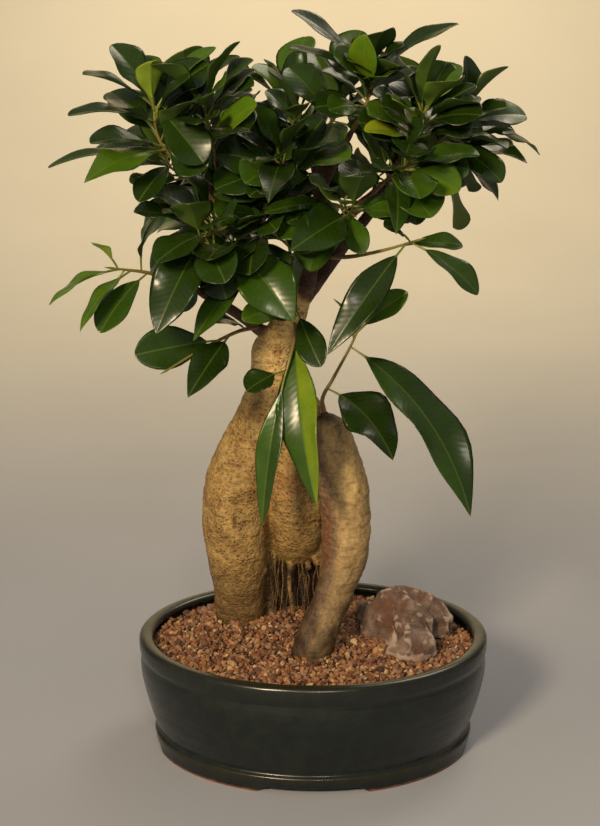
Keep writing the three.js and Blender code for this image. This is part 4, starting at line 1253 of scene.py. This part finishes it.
def green_stem(points, radius):
    """A stem: a round tube along its curve, sunk a little into its branch, which ends in a slender
    pointed bud. It looks younger towards its bud."""
    shares = np.linspace(0, 1, (len(points) - 1) * STEM_ROWS + 1)
    path = along_curve(points, shares)
    thick = radius + (STEM_TIP - radius) * shares
    sunk = path[0] - unit(path[1] - path[0]) * 2
    end_way = curve_way(points, 1)
    bud_shares = np.array([0.12, 0.3, 0.5, 0.72, 0.9, 0.985])
    bud = path[-1] + end_way * BUD * bud_shares[:, None]
    bud_thick = STEM_TIP * np.array([1.1, 1.2, 1.0, 0.66, 0.3, 0.1])
    body = tube(np.vstack([sunk, path, bud]), np.concatenate([[radius], thick, bud_thick]), STEM_SIDES)
    size = len(body["points"])
    age = np.repeat(np.concatenate([[1], 1 - (1 - BUD_AGE) * shares, np.full(len(bud), BUD_AGE)]), STEM_SIDES)
    body["values"] = {
        "blade": np.zeros((size, 3)), "tone": np.full(size, 0.5), "part": np.append(age, [1, BUD_AGE]),
    }
    return body


# The leaves: living ficus leaves, leathery and waxy. They give the eye a dark green upper side with a
# gloss, a pale midrib and faint side veins every few millimetres, a paler dull underside, yellow
# green in the young ones and lightened there as painted light shining through them, and tan to olive
# stalks and stems.
VEIN_PITCH = 3.6


def leaf_green():
    material, tree, place = new_material("living_ficus_leaf")
    tone, part = held(tree, "tone"), held(tree, "part")
    across, along, side = split(tree, held(tree, "blade", "Vector"))
    mottle = cloud(tree, place, 11, 4.0)
    shade = product(tree, mottle, 0.22, tone)
    upper = ramp(
        tree, shade, (0.08, "#162506"), (0.3, "#213609"), (0.5, "#304b0c"), (0.7, "#4c6a12"),
        (0.85, "#748716"), (1.0, "#969f22"),
    )
    # The underside's bright yellow green end is partly painted light, for light shining through young leaves
    under = ramp(tree, shade, (0.1, "#304516"), (0.5, "#4f681f"), (0.8, "#7f962a"), (1.0, "#b9c244"))
    below = ranged(tree, side, -0.2, -0.8)
    off = maths(tree, "ABSOLUTE", across)
    slanted = product(tree, off, -0.75, along)
    wave = maths(tree, "COSINE", product(tree, slanted, 2 * math.pi / VEIN_PITCH))
    veins = maths(
        tree, "MAXIMUM", ranged(tree, wave, 0.86, 1.0, end=0.16), ranged(tree, off, 0.6, 0.15)
    )
    seen = product(tree, veins, ranged(tree, part, 0.3, 0.0, end=0.28))
    veined = mixed(tree, seen, mixed(tree, below, upper, under), "#6a7f30")
    wood = ramp(tree, part, (0.4, "#66752c"), (0.6, "#7a7434"), (1.0, "#7d5c38"))
    colour = mixed(tree, ranged(tree, part, 0.15, 0.4), veined, wood)
    wax = product(tree, mottle, 0.16, ranged(tree, below, start=0.2, end=0.5))
    normal = bumped(tree, product(tree, wave, 0.12, mottle), 0.25, 0.35)
    flesh = {"Subsurface Weight": 0.08, "Subsurface Scale": 0.6 * MM}
    return finished(material, tree, colour, wax, Normal=normal, IOR=1.42, **flesh)


def leafy_stem(name, row, number, material):
    """One stem with its leaves. A given or ruled leaf takes the first of its places whose tip is a corner
    of the solid stem, so it stands where the solid one does. Then come the leaves in front and those
    that the rule adds between its own."""
    node = "leafy_stem_" + name
    corners = read(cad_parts[node].data, "co") / MM
    points = stem_points(row)
    count, length = row["more"]
    leaves = [given_places(points, one) for one in row["leaves"]]
    leaves += [ruled_places(points, i, row["more"], SEEDS_PER_STEM * number + i) for i in range(count)]
    parts = [green_stem(points, min(row["wood"][-1][3], STEM_START) * STEM_SHARE)]
    for index, places in enumerate(leaves):
        tips = np.array([tip for _, tip, *_ in places])
        miss = np.linalg.norm(corners[None] - tips[:, None], axis=2).min(axis=1)
        if miss.min() > TIP_MATCH:
            continue
        place = places[int(np.argmax(miss < TIP_MATCH))]
        seed = 97 * number + 7 * index + 0.5
        own = 0.05 + 0.45 * draw(seed) ** 1.6
        parts.append(leaf(*place, LEAF_YOUTH_AND_PAINTED_LIGHT.get(name, {}).get(index, (own, own)), seed))
    for index, (one, tones) in enumerate(FRONT_LEAVES.get(name, [])):
        place = given_places(points, one)[0]
        parts.append(leaf(*place, tones, FRONT_SEEDS + SEEDS_PER_STEM * number + index))
    added = (count, length * EXTRA_LENGTH)
    for index in range(round(EXTRA_SHARE * count)):
        seed = EXTRA_SEEDS + SEEDS_PER_STEM * number + index
        place = ruled_places(points, 0.5 + index / EXTRA_SHARE, added, seed)[0]
        middle = (place[0] + place[1]) / 2
        if np.all(middle > LEADER_SEEN[0]) and np.all(middle < LEADER_SEEN[1]):
            continue
        own = 0.05 + 0.3 * draw(seed + 0.2)
        parts.append(leaf(*place, (own, own), seed))
    return settled(made_mesh(node + "_leaves", gathered(parts)), material, [node])


# The floor and the wall behind it: one pale board, painted matt, that bends up
def pale_paint():
    material, tree, place = new_material("pale_matt_paint")
    colour = ramp(tree, cloud(tree, place, 250, 2.0), (0.3, "#9c9ea6"), (0.7, "#a0a2aa"))
    return finished(material, tree, colour, 0.75)


# The board, in millimetres: its half length, where it starts and where it starts to bend, the bend's
# radius and the wall's top
BOARD_HALF = 5000.0
BOARD_START = -5000.0
BEND_START = 1300.0
BEND_RADIUS = 1100.0
WALL_TOP = 3600.0


def board():
    """A profile carried along X: level from the start to the bend, a quarter of a circle, and straight
    up to the wall's top."""
    turn = np.linspace(0, math.pi / 2, 40)
    y = np.concatenate([[BOARD_START], BEND_START + BEND_RADIUS * np.sin(turn), [BEND_START + BEND_RADIUS]])
    z = np.concatenate([[0], BEND_RADIUS * (1 - np.cos(turn)), [WALL_TOP]])
    points = np.stack([np.column_stack([np.full(len(y), x), y, z]) for x in (-BOARD_HALF, BOARD_HALF)], 1)
    row = 2 * np.arange(len(y) - 1)
    body = {
        "points": points.reshape(-1, 3), "quads": np.stack([row, row + 1, row + 3, row + 2], -1),
        "tris": np.empty((0, 3), int), "values": {},
    }
    piece = made_mesh("pale_board", body)
    piece.data.materials.append(pale_paint())


pot()
for name in ("drain_screen_left", "drain_screen_right", "soil"):
    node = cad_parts[name]
    node.data.materials.clear()
    node.data.materials.append(soil_mix() if name == "soil" else screen_plastic())
gravel()
stone()
skin_of_tree = bark()
trunk(skin_of_tree)
fine_roots(skin_of_tree)
green = leaf_green()
for number, (name, row) in enumerate(STEMS.items()):
    leafy_stem(name, row, number, green)

board()

# The light: a warm soft key on the left by the camera, a small weak one in front, a wide warm one over
# the bend of the board, turned from the tree, a weak one high behind the tree on the right, and a pale
# room all round
bpy.context.scene.view_settings.view_transform = "Standard"
room = bpy.data.worlds.new("room")
room.use_nodes = True
bpy.context.scene.world = room
air = room.node_tree.nodes["Background"]
air.inputs["Color"].default_value = linear("#e8e6e2")
air.inputs["Strength"].default_value = 0.3


def soft_light(name, place, target, width, power, code):
    """A square area light at a place in millimetres that looks at a target."""
    lamp = bpy.data.lights.new(name, "AREA")
    lamp.size = width * MM
    lamp.energy = power
    lamp.color = linear(code)[:3]
    light = bpy.data.objects.new(name, lamp)
    light.location = np.array(place) * MM
    way = Vector(target) - Vector(place)
    light.rotation_euler = way.to_track_quat("-Z", "Y").to_euler()
    bpy.context.collection.objects.link(light)


soft_light("key", (-560, -1280, 900), (0, 0, 180), 260, 24, "#ffe6c0")
soft_light("front", (150, -1500, 1000), (0, 0, 60), 140, 5, "#fff4e0")
soft_light("wall", (0, 1250, 1500), (0, 2350, 650), 900, 46, "#ffdf9e")
soft_light("behind", (450, 620, 1150), (0, 0, 160), 450, 4, "#fff0d8")
